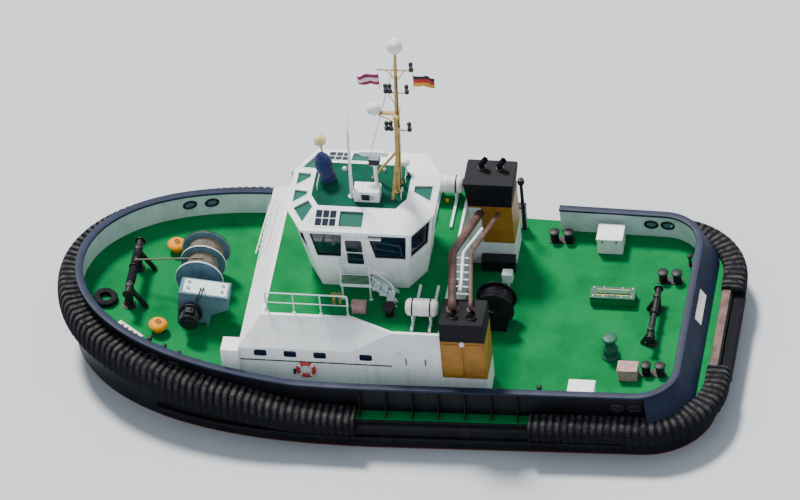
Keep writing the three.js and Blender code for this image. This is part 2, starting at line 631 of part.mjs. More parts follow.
function addBoatDeckGear() {
  const foot = BOAT_FLOOR + GAP;
  const line = [4000, 3050, 2100, 1150];
  const y = 3120;
  const posts = line.map((x) => rod([x, y, foot], [x, y, foot + 900], 25, 6));
  const [fore, aft] = [line[0] + 25, line.at(-1) - 25];
  const bars = [450, 900].map((h) => rod([fore, y, foot + h], [aft, y, foot + h], 25, 6));
  const raft = { x: [-2060, -930], y: 3150, z: 4760, r: 320 };
  const runners = [-1180, -1810].map((x) => join(
    block([x - 45, x + 45], [1500, 3780], [foot, foot + 110]),
    block([x - 40, x + 40], [raft.y - 300, raft.y + 300], [foot, raft.z - 100])));
  const capsule = join(
    rod([raft.x[0] + 90, raft.y, raft.z], [raft.x[1] - 90, raft.y, raft.z], raft.r, 16),
    rod([raft.x[0], raft.y, raft.z], [raft.x[0] + 90, raft.y, raft.z], raft.r - 90, 16, raft.r),
    rod([raft.x[1] - 90, raft.y, raft.z], [raft.x[1], raft.y, raft.z], raft.r, 16, raft.r - 90));
  const buoy = turnedRing([[245, -50], [325, -50], [355, 0], [325, 50], [245, 50], [215, 0]], 18)
    .rotate([90, 0, 0]).translate([2610, HOUSE_HALF + 50 + GAP, 2440]);
  for (const [name, turned] of SIDES) {
    piece(`${name}_rail`, 'inside', turned(join(posts, bars)));
    piece(`${name}_raft`, 'white', turned(join(runners, capsule)));
    piece(`${name}_lifebuoy`, 'red', turned(buoy));
  }
}

// What stands on the wheelhouse roof

const HALYARD = { x: [-1290, -90], r: 12 };

function addRoofGear() {
  const roof = place(0, 0, ROOF_Z + GAP);
  const headZ = 6550;
  const legs = [-220, 220].map((y) => rod([-430, y, 0], [-600, y, 3500], 60, 8));
  const rungs = [400, 800, 1200, 1600, 2000, 2400, 2800, 3200].map((z) =>
    rod([-430 - z * 0.0486, -220, z], [-430 - z * 0.0486, 220, z], 28, 6));
  const stays = [[560, -400, 0], [-300, 640, 220], [-300, -640, -220]].map(([x, y, top]) =>
    rod([x, y, 0], [-515, top, 1750], 45, 6));
  const pole = rod([-600, 0, 3400], [-750, 0, headZ - 100], 75, 10, 50);
  const collar = block([-690, -510], [-290, 290], [3440, 3540]);
  const yards = [
    // height, from X, to X
    [2700, -1050, -150], [4450, -1080, -240], [5500, -1330, -50],
  ].map(([z, x0, x1]) => rod([x0, 0, z], [x1, 0, z], 30, 6));
  const bracket = block([-605, 250], [-60, 60], [3450, 3510]);
  const lowYard = block([-640, -520], [-230, 230], [2660, 2740]);
  const halyards = HALYARD.x.map((x) => rod([x, 0, 4560], [x, 0, 5480], HALYARD.r, 6));
  const lanterns = [
    // X, Z of each lantern's foot
    [-1000, 2700], [-200, 2700], [-350, 2700], [-1030, 4450], [-290, 4450], [-440, 4450], [-1250, 5500],
  ].map(([x, z]) => rod([x, 0, z], [x, 0, z + 270], 65, 8));
  const domes = [domeBody(270).translate([-750, 0, headZ - 120]), domeBody(240).translate([190, 0, 3500])];
  const mast = join(legs, rungs, stays, pole, collar, yards, bracket, lowYard, halyards, lanterns, domes);
  piece('mast', 'yellow', above(mast), roof);

  const radar = place(350, 0, 0, 0, roof);
  piece('radar_pedestal', 'white', join(rod([0, 0, 0], [0, 0, 1100], 70, 12),
    block([-180, 180], [-150, 150], [1080, 1380]), rod([0, 0, 0], [0, 0, 30], 170, 12)), radar);
  piece('radar_scanner', 'white', join(rod([0, 0, 1380 + RUNNING_GAP], [0, 0, 1470], 70, 16),
    block([-500, 500], [-75, 75], [1460, 1620])), radar);

  const cover = turned([[0, -90], [300, -90], [340, 200], [340, 760], [280, 1050], [140, 1240], [0, 1280]],
    16);
  piece('compass_cover', 'blue', above(cover.rotate([0, 11, 0])).translate([2060, -210, 0]), roof);
  const [lampX, lampY, lampZ] = [2310, -620, 1480];
  piece('searchlight', 'cream', join(rod([lampX, lampY, 0], [lampX, lampY, lampZ - 150], 40, 8),
    turned([[0, -180], [130, -180], [195, -60], [200, 200], [0, 200]], 16).rotate([0, 90, 0])
      .translate([lampX, lampY, lampZ]),
    block([lampX - 50, lampX + 50], [lampY - 60, lampY + 60], [lampZ - 220, lampZ - 100])), roof);
  piece('pole_aerial', 'white', above(join(rod([1150, 560, 0], [1090, 500, 3000], 65, 10, 45),
    rod([1092, 502, 2950], [940, 450, 4100], 16, 6))), roof);
  const flag = (x0, x1) => block([x0, x1], [-12, 12], [4780, 5280]);
  const off = HALYARD.r * Math.cos(Math.PI / 6) + GAP;
  piece('house_flag', 'red', flag(HALYARD.x[1] + off, 700), roof);
  piece('ensign', 'red', flag(-2060, HALYARD.x[0] - off), roof);
}

// Foredeck: the group leans with the deck's rise

const foredeckX = (x) => (x - KNUCKLE_X) / Math.cos(Math.atan(DECK_SLOPE));
const WINCH = { x: 7100, axis: 980, flange: 850, starboard: -1350, port: 250 };

function addForedeck() {
  const fore = place(KNUCKLE_X, 0, DECK_Z + DECK_PLATE, -Math.atan(DECK_SLOPE));
  const winch = place(foredeckX(WINCH.x), 0, GAP, 0, fore);
  const { axis, flange } = WINCH;
  const [y0, y1] = [WINCH.starboard, WINCH.port];
  const stand = (y) => across([[-520, 0], [520, 0], [200, axis + 160], [-200, axis + 160]], y, y + 90);
  const bed = [-560, 470].map((x) => block([x, x + 90], [y0 - 190, 1500], [0, 120]));
  piece('winch_frame', 'machine', join(stand(y0 - 150), stand(y1 + 60), bed), winch);
  const disc = (y, w, r) => rod([0, y, axis], [0, y + w, axis], r, 20);
  const drum = join(disc(y0, 50, flange), disc(y1 - 50, 50, flange), disc(y0 + 700, 40, flange - 40),
    disc(y0, 700, 620), disc(y0 + 700, y1 - y0 - 700, 560),
    disc(y0 - 60 + RUNNING_GAP, y1 - y0 + 120 - 2 * RUNNING_GAP, 260));
  piece('winch_drum', 'machine', drum, winch);
  const box = across([[-550, 120 + GAP], [560, 120 + GAP], [560, 1400], [500, 1460], [-1200, 1460],
    [-1200, 900], [-550, 500]], 700, 1500);
  const bridge = rod([0, y1 + 150 + GAP, axis], [0, 720, axis], 150, 16);
  piece('winch_gearbox', 'machine', box.add(bridge), winch);
  piece('winch_motor', 'black', join(rod([60, 1500 + GAP, 760], [60, 2250, 760], 330, 16),
    rod([60, 1700, 760], [60, 1760, 760], 420, 16), rod([60, 2250, 760], [60, 2310, 760], 220, 12)), winch);

  const staple = place(foredeckX(9450), 0, GAP, 0, fore);
  const posts = [-1, 1].flatMap((s) => [rod([0, s * 950, 0], [0, s * 950, 1050], 150, 10),
    rod([-620, s * 950, 0], [0, s * 950, 800], 90, 8), rod([0, s * 950, 0], [0, s * 950, 40], 260, 12)]);
  const bar = join(rod([0, -1380, 900], [0, 1380, 900], 130, 10),
    [-1390, -60, 1340].map((y) => rod([0, y, 900], [0, y + 50, 900], 185, 10)));
  piece('tow_staple', 'black', above(join(posts, bar)), staple);
  const vent = turned([[0, 0], [170, 0], [170, 250], [330, 260], [340, 330], [260, 420], [0, 470]], 14);
  for (const [name, turned] of SIDES) {
    piece(`${name}_vent`, 'orange', turned(vent.translate([foredeckX(8250), 2050, GAP])), fore);
  }
  const tyre = turnedRing([[260, -90], [460, -90], [510, 0], [460, 90], [260, 90], [220, 0]], 20);
  piece('deck_tyre', 'rubber', tyre.translate([foredeckX(10250), 820, 90 + GAP]), fore);
}

// Lockers, bollards and the after deck

function addDeckGear() {
  const locker = block([-7450, -6550], [3560, 4360], [DECK_Z + DECK_PLATE + GAP, 2020]);
  for (const [name, turned] of SIDES) piece(`${name}_locker`, 'white', turned(locker));
  piece('roof_locker', 'white', block([130, 1030], [330, 850], [0, 470]).subtract(
    block([300, 560], [700, 900], [110, 330])), place(0, 0, ROOF_Z + GAP));

  const aft = place(0, 0, DECK_Z + DECK_PLATE + GAP);
  const hatch = { x: [-8210, -6640], y: [-1500, -930], h: 330 };
  piece('hatch_coaming', 'deck', block(hatch.x, hatch.y, [0, hatch.h]).subtract(
    block([hatch.x[0] + 60, hatch.x[1] - 60], [hatch.y[0] + 60, hatch.y[1] - 60], [60, 400])), aft);
  const lid = block([hatch.x[0] - 20, hatch.x[1] + 20], [hatch.y[0] - 20, hatch.y[1] + 20],
    [hatch.h + RUNNING_GAP, hatch.h + 60]);
  const ridge = block([-8000, -6850], [-1310, -1120], [hatch.h + 50, hatch.h + 110]);
  piece('hatch_lid', 'yellow', join(lid, ridge), aft);
  const capstan = place(-7700, 1550, 0, 0, aft);
  piece('capstan_base', 'green', turned([[0, 0], [340, 0], [340, 60], [260, 110], [250, 300], [0, 300]],
    16), capstan);
  const seat = 300 + RUNNING_GAP;
  piece('capstan_head', 'green', turned([[0, seat], [270, seat], [280, 360], [180, 480], [180, 680],
    [280, 800], [280, 880], [0, 900]], 16), capstan);
  const bitt = [-850, 850].flatMap((y) => [rod([-9050, y, 0], [-9050, y, 760], 130, 10),
    rod([-8700, y, 0], [-9050, y, 560], 75, 8)]);
  const bar = join(rod([-9050, -1300, 600], [-9050, 1300, 600], 110, 10),
    [-1310, -30, 1270].map((y) => rod([-9050, y, 600], [-9050, y + 40, 600], 165, 10)));
  piece('stern_bitt', 'black', above(join(bitt, bar)), aft);
  piece('vent_box', 'pink', block([-8780, -8120], [2300, 2800], [0, 480]), aft);

  const reel = place(-3480, 150, 0, 0, aft);
  const cheek = (y) => across([[-420, 0], [420, 0], [120, 1000], [-120, 1000]], y, y + 60);
  piece('reel_stand', 'black', join(cheek(-470), cheek(410), block([-420, 420], [-470, 470], [0, 50])),
    reel);
  const disc = (y, w, r) => rod([0, y, 900], [0, y + w, 900], r, 20);
  piece('rope_reel', 'black', join(disc(-350, 40, 720), disc(310, 40, 720), disc(-330, 660, 520),
    disc(-410 + RUNNING_GAP, 820 - 2 * RUNNING_GAP, 110)), reel);
}

// Thrusters and propellers

/** One screw blade: a twisted leaf from the boss to the tip, with the shaft along X. */
function blade(tip) {
  const rows = [
    // part of the tip's radius, chord, twist in degrees, half-thickness
    [0.17, 330, 62, 34], [0.45, 560, 38, 24], [0.75, 640, 25, 15], [0.93, 480, 20, 9], [1, 220, 18, 5],
  ];
  return loft(rows.map(([part, chord, twist, thick]) => {
    const turn = THREE.MathUtils.degToRad(twist);
    const [sin, cos] = [Math.sin(turn), Math.cos(turn)];
    return [[-1, 0], [-0.5, 0.8], [0.4, 1], [1, 0], [0.4, -1], [-0.5, -0.8]].map(([u, v]) => {
      const [along, over] = [u * chord / 2, v * thick];
      return [along * sin + over * cos, along * cos - over * sin, tip * part];
    });
  }));
}

function addThruster(name, side) {
  const unit = place(THRUSTER.x, THRUSTER.y * side, THRUSTER.shaft);
  const seat = THRUSTER.seat - THRUSTER.shaft - RUNNING_GAP;
  const alongX = (body) => body.rotate([0, -90, 0]);
  const pod = alongX(turned([[0, -720], [190, -640], [320, -380], [340, 150], [290, 520], [0, 520]], 16));
  const nozzle = alongX(turnedRing([[1080, 300], [1150, 270], [1235, 420], [1190, 1150], [1130, 1190],
    [1075, 760]], 20));
  const leg = join(rod([0, 0, 0], [0, 0, seat], 330, 16, 400),
    rod([0, 0, seat - 110], [0, 0, seat], 560, 20));
  const arms = join(block([-650, 0], [-90, 90], [1110, 1300]), block([-650, 60], [-70, 70], [-1200, -1100]),
    block([-120, 120], [-70, 70], [-1200, 0]));
  piece(`${name}_thruster`, 'hull', join(pod, nozzle, leg, arms), unit);
  const screw = place(-760, 0, 0, 0, unit);
  const face = -240 + RUNNING_GAP;
  const boss = alongX(turned([[0, face], [280, face], [250, 60], [150, 240], [0, 280]], 14));
  const blades = [0, 90, 180, 270].map((turn) => blade(1050).rotate([turn, 0, 0]));
  piece(`${name}_propeller`, 'bronze', join(boss, blades), screw);
}

addHull();
addEdge();
addHouse();
addFunnels();
addTowArch();
addWheelhouse();
addPlatforms();
addBoatDeckGear();
addRoofGear();
addForedeck();
addDeckGear();
addThruster('port', 1);
addThruster('starboard', -1);

export default tug;
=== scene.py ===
# %% [markdown]
# # A harbour tug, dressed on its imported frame
#
# The frame holds the tug's solids: hull, deckhouse, wheelhouse, winch and the rest, each where it belongs.
# This script keeps the solids whose shape is right, gives them real paint, and lays finer surfaces over the
# curved ones. Positions are metres: +X is forward, +Y is port, +Z is up, and the water lies at Z = 0.

# %% Load the frame
import math
import bpy
import numpy as np
from mathutils import Matrix, Vector


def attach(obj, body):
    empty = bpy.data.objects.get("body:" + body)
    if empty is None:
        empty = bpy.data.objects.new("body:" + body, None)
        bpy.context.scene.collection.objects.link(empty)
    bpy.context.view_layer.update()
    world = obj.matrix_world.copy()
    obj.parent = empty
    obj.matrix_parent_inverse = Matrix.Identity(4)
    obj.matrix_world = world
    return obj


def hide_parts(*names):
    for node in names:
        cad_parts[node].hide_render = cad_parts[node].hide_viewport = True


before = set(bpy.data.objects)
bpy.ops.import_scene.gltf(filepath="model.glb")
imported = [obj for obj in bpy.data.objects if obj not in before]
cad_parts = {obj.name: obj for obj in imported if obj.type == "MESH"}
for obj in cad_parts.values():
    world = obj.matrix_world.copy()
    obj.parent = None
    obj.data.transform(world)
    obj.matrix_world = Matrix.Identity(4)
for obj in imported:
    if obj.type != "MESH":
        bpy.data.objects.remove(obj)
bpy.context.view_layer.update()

PI = math.pi
HAIR = 0.0003   # the gap that keeps two faces apart

# %% [markdown]
# ## The camera
#
# The photograph looks down on the port side from high up and far away, a little from the stern, with the
# horizon turned. The camera stands on that line of sight. Its lens is longer, so that the tug fills the frame.

# %% The camera
TURN, HEIGHT, ROLL = math.radians(12.3), math.radians(43.0), math.radians(5.7)
DISTANCE = 347.0
PHOTO_FOCAL = 3000.0            # pixels, fitted to the tug's outline
CROP_WIDTH = 243.0              # pixels of the photograph that the tug fills
SENSOR = 36.0
AIM = Vector((0.0, 0.0, 1.2))
RISE = 2.35                     # the aim lies this far below the middle of the frame

ahead = Vector((math.sin(TURN) * math.cos(HEIGHT), -math.cos(TURN) * math.cos(HEIGHT), -math.sin(HEIGHT)))
level = Vector((-math.cos(TURN), -math.sin(TURN), 0.0))
upward = level.cross(ahead)
across = level * math.cos(ROLL) - upward * math.sin(ROLL)
upright = level * math.sin(ROLL) + upward * math.cos(ROLL)
data = bpy.data.cameras.new("photo_camera")
data.sensor_width = SENSOR
data.lens = SENSOR * PHOTO_FOCAL / CROP_WIDTH
data.clip_end = 2000.0
camera = bpy.data.objects.new("photo_camera", data)
bpy.context.scene.collection.objects.link(camera)
place = AIM + upright * RISE - ahead * DISTANCE
turn = Matrix((across, upright, -ahead)).transposed().to_4x4()
camera.matrix_world = Matrix.Translation(place) @ turn
bpy.context.scene.camera = camera
print("lens", round(data.lens, 1), "mm from", tuple(round(v, 1) for v in place))

# %% [markdown]
# ## Tools for surfaces
#
# A shape here is a pair: an array of points and a list of face arrays. Rings of points make a skin, and
# a profile turned about an axis or carried along a path makes its rings in one numpy expression.


# %% Skins, turned shapes, tubes and slabs
def skin(rings, caps=True):
    """Joins closed rings (n, m, 3) with quads; caps closes both ends with one face."""
    rings = np.asarray(rings, float)
    n, m = rings.shape[:2]
    i, j = np.meshgrid(np.arange(n - 1), np.arange(m), indexing="ij")
    k = (j + 1) % m
    quads = np.stack([i * m + j, i * m + k, (i + 1) * m + k, (i + 1) * m + j], -1).reshape(-1, 4)
    ends = [np.arange(m)[None, ::-1], (n - 1) * m + np.arange(m)[None]] if caps else []
    return rings.reshape(-1, 3), [quads, *ends]


def put(outline, axis, value):
    """A flat outline as points in space: the coordinate it lacks is the same for all of them."""
    return np.insert(np.asarray(outline, float), axis, value, axis=1)


def prism(outline, axis, values):
    """A flat outline at several places along an axis, joined."""
    return skin([put(outline, axis, value) for value in values])


def together(*shapes):
    """One shape out of several: the points follow each other and the faces are counted on."""
    points, faces, start = [], [], 0
    for some, groups in shapes:
        points.append(some)
        faces += [g + start for g in groups]
        start += len(some)
    return np.concatenate(points), faces


def moved(shape, by):
    """The shape shifted by a vector."""
    return shape[0] + np.asarray(by, float), shape[1]


def laid(shape, axis):
    """The shape with its Z axis turned to +X or +Y: the coordinates change places in a cycle."""
    order = {"X": [2, 0, 1], "Y": [1, 2, 0], "Z": [0, 1, 2]}[axis]
    return shape[0][:, order], shape[1]


def flipped(shape):
    """The shape mirrored to the other side: Y changes sign and the faces turn round."""
    return shape[0] * [1, -1, 1], [g[:, ::-1] for g in shape[1]]


def both(shape):
    """The shape and its mirror image."""
    return together(shape, flipped(shape))


def outward(shape):
    """Turns the faces round if the shape's volume, the sum of a . (b x c) / 6 over its triangles, is negative."""
    p = shape[0] - shape[0].mean(0)
    volume = sum((p[g[:, 0]] * np.cross(p[g[:, k]], p[g[:, k + 1]])).sum()
                 for g in shape[1] for k in range(1, g.shape[1] - 1))
    return shape if volume > 0 else (shape[0], [g[:, ::-1] for g in shape[1]])


def welded(shape):
    """The shape with points that coincide made one."""
    _, first, index = np.unique(np.round(shape[0], 6), axis=0, return_index=True, return_inverse=True)
    return shape[0][first], [index.reshape(-1)[g] for g in shape[1]]


def normed(v):
    """Vectors scaled to length one, v / |v|."""
    return v / np.linalg.norm(v, axis=-1, keepdims=True)


def circle(count):
    """Even angles round a full turn; the last one stops short of the first."""
    return np.linspace(0, 2 * PI, count, endpoint=False)


def polar(r, a, z):
    """Points at a radius, an angle and a height: x = r cos a, y = r sin a."""
    return np.stack([r * np.cos(a), r * np.sin(a), z + 0 * r * a], -1)


def revolve(profile, sides=40, closed=False):
    """Turns [radius, height] pairs about Z. A closed profile makes a ring."""
    profile = np.asarray(profile + profile[:1] if closed else profile, float)
    r, z = np.maximum(profile[:, :1], 0 if closed else 1e-4), profile[:, 1:]
    return skin(polar(r, circle(sides), z), caps=not closed)


def puck(radius, low, high, sides):
    """A plain round bar or disc about Z, from one height to another."""
    return revolve([[0, low], [radius, low], [radius, high], [0, high]], sides)


def hoop(inner, outer, low, high, sides):
    """A ring about Z with a square section."""
    return revolve([[inner, low], [outer, low], [outer, high], [inner, high]], sides, closed=True)


def tube(path, radius, sides=10, loop=False):
    """A round bar along a path: each ring is p + r (n cos a + b sin a), with n and b square to the path."""
    path = np.asarray(path, float)
    ahead = normed(np.roll(path, -1, 0) - np.roll(path, 1, 0) if loop else np.gradient(path, axis=0))
    flat = np.linalg.svd(path - path.mean(0) + [[1e-6, 2e-6, 3e-6]])[2][2]
    side = normed(flat - (ahead @ flat)[:, None] * ahead)
    over = np.cross(ahead, side)
    turn = circle(sides)[:, None]
    radius = np.broadcast_to(np.asarray(radius, float), len(path))[:, None, None]
    rings = path[:, None] + radius * (side[:, None] * np.cos(turn) + over[:, None] * np.sin(turn))
    return skin(np.concatenate([rings, rings[:1]]) if loop else rings, caps=not loop)


def eased(points, radius=0.1, steps=5):
    """A polyline with each corner replaced by the curve (1-t)^2 a + 2t(1-t) p + t^2 b."""
    points = np.asarray(points, float)
    inner = points[1:-1]
    back, on = points[:-2] - inner, points[2:] - inner
    reach = np.minimum(radius, 0.45 * np.minimum(np.linalg.norm(back, axis=1), np.linalg.norm(on, axis=1)))
    a, b = (inner + normed(way) * reach[:, None] for way in (back, on))
    t = np.linspace(0, 1, steps)[None, :, None]
    curve = (1 - t) ** 2 * a[:, None] + 2 * t * (1 - t) * inner[:, None] + t ** 2 * b[:, None]
    return np.concatenate([points[:1], curve.reshape(-1, points.shape[1]), points[-1:]])


def slabs(boxes):
    """Many boxes at once from rows of [x0, x1, y0, y1, z0, z1]."""
    b = np.asarray(boxes, float).reshape(-1, 3, 2)
    pick = np.array([[0, 0, 0], [1, 0, 0], [1, 1, 0], [0, 1, 0], [0, 0, 1], [1, 0, 1], [1, 1, 1], [0, 1, 1]])
    points = b[:, np.arange(3), pick].reshape(-1, 3)
    six = np.array([[3, 2, 1, 0], [4, 5, 6, 7], [0, 1, 5, 4], [1, 2, 6, 5], [2, 3, 7, 6], [3, 0, 4, 7]])
    return points, [(six[None] + 8 * np.arange(len(b))[:, None, None]).reshape(-1, 4)]


def sheet_between(corners, depth0, depth1):
    """A flat slab on four corners, from one depth to another along its normal (c1 - c0) x (c3 - c0)."""
    c = np.asarray(corners, float)
    normal = normed(np.cross(c[1] - c[0], c[3] - c[0]))
    return skin([c + normal * depth0, c + normal * depth1])


def copies(shape, places):
    """The shape repeated at many places."""
    return together(*[moved(shape, place) for place in places])


def soften(obj, width):
    """Rounds the edges of a piece: loose triangles are welded, and edges sharper than 35 degrees are bevelled."""
    if width:
        weld = obj.modifiers.new("weld", "WELD")
        weld.merge_threshold = 1e-4
        bevel = obj.modifiers.new("bevel", "BEVEL")
        bevel.width, bevel.segments, bevel.limit_method = width, 2, "ANGLE"
        bevel.angle_limit = math.radians(35)


def build(name, shape, paint, bevel=0.0, body="tug", replaces=(), angle=35):
    """Puts a shape into a new object with its material, rides it on a body, and hides what it stands for."""
    points, groups = shape
    mesh = bpy.data.meshes.new(name)
    mesh.from_pydata(points.tolist(), [], [face for g in groups for face in g.tolist()])
    mesh.validate()
    mesh.materials.append(paint)
    mesh.shade_smooth()
    mesh.set_sharp_from_angle(angle=math.radians(angle))
    obj = bpy.data.objects.new(name, mesh)
    bpy.context.scene.collection.objects.link(obj)
    soften(obj, bevel)
    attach(obj, body)
    if replaces:
        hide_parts(*replaces)
    return obj


def as_it_is(shape):
    """The shape as it is, for the port side."""
    return shape


SIDES = (("port", as_it_is), ("starboard", flipped))


def build_both(rows):
    """Builds rows of name, port shape, paint, node stood for, body and settings: port first, then mirrored."""
    for side, turn in SIDES:
        for name, shape, paint, node, body, more in rows:
            build(f"{side}_{name}", turn(shape), paint, body=f"{side}_{body}" if body else "tug",
                  replaces=[f"{side}_{node}"] if node else (), **more)


print("tools ready:", skin(np.zeros((3, 4, 3)))[0].shape[0], "points in a test skin")

# %% [markdown]
# ## Paint, rubber, glass and rope
#
# A working boat is painted steel. What makes the paint look real is what time does to it: patches that have
# faded or taken dirt, a fine grain, and on upright walls the streaks that rain leaves. One recipe gives all of
# that from noise in Object coordinates, in metres, so that the pattern stays put on the boat.


# %% Materials
def linear(code):
    """An sRGB hex colour as linear light: c / 12.92 below 0.04045, else ((c + 0.055) / 1.055) ** 2.4."""
    c = np.array([int(code[i:i + 2], 16) for i in (1, 3, 5)]) / 255
    return (*np.where(c < 0.04045, c / 12.92, ((c + 0.055) / 1.055) ** 2.4), 1.0)


def add(tree, kind, settings=None, inputs=None):
    """Adds a shader node; settings are its properties, inputs its sockets: a value sets one, a socket feeds it."""
    made = tree.nodes.new("ShaderNode" + kind)
    for key, value in (settings or {}).items():
        setattr(made, key, value)
    for key, value in (inputs or {}).items():
        if isinstance(value, bpy.types.NodeSocket):
            tree.links.new(value, made.inputs[key])
        else:
            made.inputs[key].default_value = value
    return made


def new_material(name, slot, colour, roughness, metallic=0.0):
    """A Principled material with its tree, its shader and the object coordinates."""
    made = bpy.data.materials.new(name)
    made.use_nodes = True
    tree = made.node_tree
    shader = tree.nodes["Principled BSDF"]
    shader.inputs["Base Color"].default_value = linear(colour)
    shader.inputs["Roughness"].default_value = roughness
    shader.inputs["Metallic"].default_value = metallic
    made["slot"] = slot
    made.diffuse_color = linear(colour)
    where = add(tree, "TexCoord").outputs["Object"]
    return made, tree, shader, where


def weathered(name, slot, fresh, worn, roughness, patch=0.7, grain=0.02, relief=0.004, streaks=0.0,
              share=(0.42, 0.7), metallic=0.0, shine=0.35):
    """Paint or rubber that has aged: patch is the size of faded areas and grain of the roughness, in metres."""
    made, tree, shader, where = new_material(name, slot, fresh, roughness, metallic)
    shader.inputs["Specular IOR Level"].default_value = shine
    blotch = add(tree, "TexNoise", inputs={"Vector": where, "Scale": 1 / patch, "Detail": 8.0, "Roughness": 0.62})
    ramp = add(tree, "MapRange", inputs={"Value": blotch.outputs["Fac"], "From Min": share[0], "From Max": share[1]})
    mix = add(tree, "Mix", {"data_type": "RGBA"}, {0: ramp.outputs[0], 6: linear(fresh), 7: linear(worn)})
    colour = mix.outputs[2]
    if streaks:
        tall = add(tree, "Mapping", inputs={"Vector": where, "Scale": RAIN_STRETCH})
        run = add(tree, "TexNoise", inputs={"Vector": tall.outputs[0], "Scale": 1.0, "Detail": 5.0})
        down = add(tree, "MapRange", inputs={"Value": run.outputs["Fac"], "From Min": 0.52, "From Max": 0.75,
                                             "To Max": streaks})
        dirt = add(tree, "Mix", {"data_type": "RGBA"}, {0: down.outputs[0], 6: colour, 7: linear(GRIME)})
        colour = dirt.outputs[2]
    tree.links.new(colour, shader.inputs["Base Color"])
    fine = add(tree, "TexNoise", inputs={"Vector": where, "Scale": 1 / grain, "Detail": 3.0})
    bump = add(tree, "Bump", inputs={"Height": fine.outputs["Fac"], "Distance": relief, "Strength": 0.7})
    tree.links.new(bump.outputs[0], shader.inputs["Normal"])
    gloss = add(tree, "MapRange", inputs={"Value": blotch.outputs["Fac"], "To Min": roughness - 0.1,
                                          "To Max": roughness + 0.12})
    tree.links.new(gloss.outputs[0], shader.inputs["Roughness"])
    return made


def over_colour(made, factor, code):
    """Lays another colour over a material's own by a factor, which is a function of its tree."""
    tree = made.node_tree
    base = tree.nodes["Principled BSDF"].inputs["Base Color"]
    under = base.links[0].from_socket
    mix = add(tree, "Mix", {"data_type": "RGBA"}, {0: factor(tree), 6: under, 7: linear(code)})
    tree.links.new(mix.outputs[2], base)


RAIN_STRETCH, GRIME = (7.0, 7.0, 0.5), "#6f6a5c"
# Alkyd enamel over steel: satin, with rain streaks on upright walls.
WHITE = weathered("white_alkyd_enamel", "house_white", "#f6f8f7", "#e6eae7", 0.38, 1.2, 0.25, 0.003, 0.16)
BLACK_HULL = weathered("black_topside_enamel", "hull_black", "#06080d", "#10131a", 0.5, 0.9, 0.3, 0.004, 0.05,
                       shine=0.2)
DECK = weathered("green_antislip_deck_paint", "deck_green", "#007c40", "#006534", 0.85, 1.6, 0.03, 0.004, shine=0.12)
ROOF_GREEN = weathered("teal_roof_paint", "deck_green", "#09523f", "#074335", 0.85, 0.9, 0.03, 0.003, shine=0.12)
INSIDE = weathered("grey_green_bulwark_enamel", "bulwark_inside", "#d6ebe6", "#bcd6d1", 0.5, 0.8, 0.2, 0.003, 0.12)
NAVY = weathered("navy_cap_rail_enamel", "cap_navy", "#16233f", "#0f192e", 0.5, 0.6, 0.05, 0.002, shine=0.25)
FENDER = weathered("carbon_black_fender_rubber", "fender_rubber", "#101116", "#1d1e24", 0.85, 0.12, 0.03,
                   0.006, shine=0.15)
OCHRE = weathered("ochre_casing_enamel", "casing_ochre", "#a97622", "#8d5f1c", 0.45, 0.5, 0.1, 0.003, 0.25)
SOOT = weathered("sooty_black_enamel", "cap_black", "#0c0d14", "#1a191f", 0.65, 0.4, 0.05, 0.003, shine=0.2)
BROWN = weathered("worn_red_brown_enamel", "arch_brown", "#6f5048", "#3d2c2c", 0.55, 0.5, 0.05, 0.004)
# Pale grey enamel; on the winch's flange rims the same pale grey is a painted highlight.
PALE = weathered("pale_grey_enamel_and_painted_highlight", "rail_pale", "#e2edeb", "#c3d2d2", 0.42, 0.3, 0.05, 0.001)
RAFT_WHITE = weathered("white_raft_gelcoat", "raft_white", "#f3f2ea", "#dcdbd0", 0.3, 0.4, 0.1, 0.001)
BUOY = weathered("red_lifebuoy_shell", "buoy_red", "#c8403a", "#a8342f", 0.5, 0.2, 0.02, 0.001)
YELLOW = weathered("yellow_mast_enamel", "mast_yellow", "#c9a558", "#94763a", 0.45, 0.3, 0.05, 0.002)
CREAM = weathered("cream_lamp_enamel", "lamp_cream", "#eedda6", "#d3bd80", 0.4, 0.2, 0.03, 0.001)
AERIAL = weathered("white_glass_fibre", "aerial_white", "#f0f2f2", "#d9dddd", 0.35, 0.3, 0.05, 0.001)
WINCH = weathered("blue_grey_machine_enamel", "winch_blue", "#5e7f92", "#49666f", 0.5, 0.35, 0.05, 0.003, 0.15)
CASTING = weathered("black_cast_housing", "motor_black", "#0f1015", "#1f1f26", 0.5, 0.2, 0.03, 0.004)
BITT = weathered("rope_worn_black_enamel", "bitt_black", "#0b0c10", "#3c3733", 0.5, 0.18, 0.03, 0.003,
                 share=(0.5, 0.75))
ORANGE = weathered("orange_vent_enamel", "vent_orange", "#f09a10", "#cf7f1c", 0.6, 0.3, 0.05, 0.001, shine=0.2)
TYRE = weathered("used_tyre_rubber", "tyre_rubber", "#15151a", "#2b2a30", 0.85, 0.15, 0.02, 0.004, shine=0.15)
HATCH = weathered("worn_yellow_enamel", "hatch_yellow", "#d9c95a", "#a9b05a", 0.5, 0.15, 0.03, 0.002)
CAPSTAN = weathered("green_machine_enamel", "capstan_green", "#0d5c40", "#1c4f3c", 0.5, 0.15, 0.03, 0.002)
PINK = weathered("faded_red_enamel", "vent_pink", "#b38f88", "#8d716d", 0.6, 0.2, 0.04, 0.002)
THRUSTER = weathered("black_antifouling", "thruster_black", "#101318", "#222a26", 0.7, 0.3, 0.04, 0.003)
BRONZE = weathered("cast_bronze", "propeller_bronze", "#b58a4c", "#8d7a50", 0.32, 0.2, 0.02, 0.001, metallic=1.0)
ROPE = weathered("grey_synthetic_rope", "winch_blue", "#857d70", "#5d574f", 0.9, 0.08, 0.012, 0.01, shine=0.1)
DARK_ROPE = weathered("black_polyester_rope", "motor_black", "#15151a", "#55535a", 0.9, 0.09, 0.012, 0.01,
                      share=(0.5, 0.8))
GASKET = weathered("black_window_rubber", "tyre_rubber", "#131418", "#26262b", 0.7, 0.2, 0.02, 0.001)
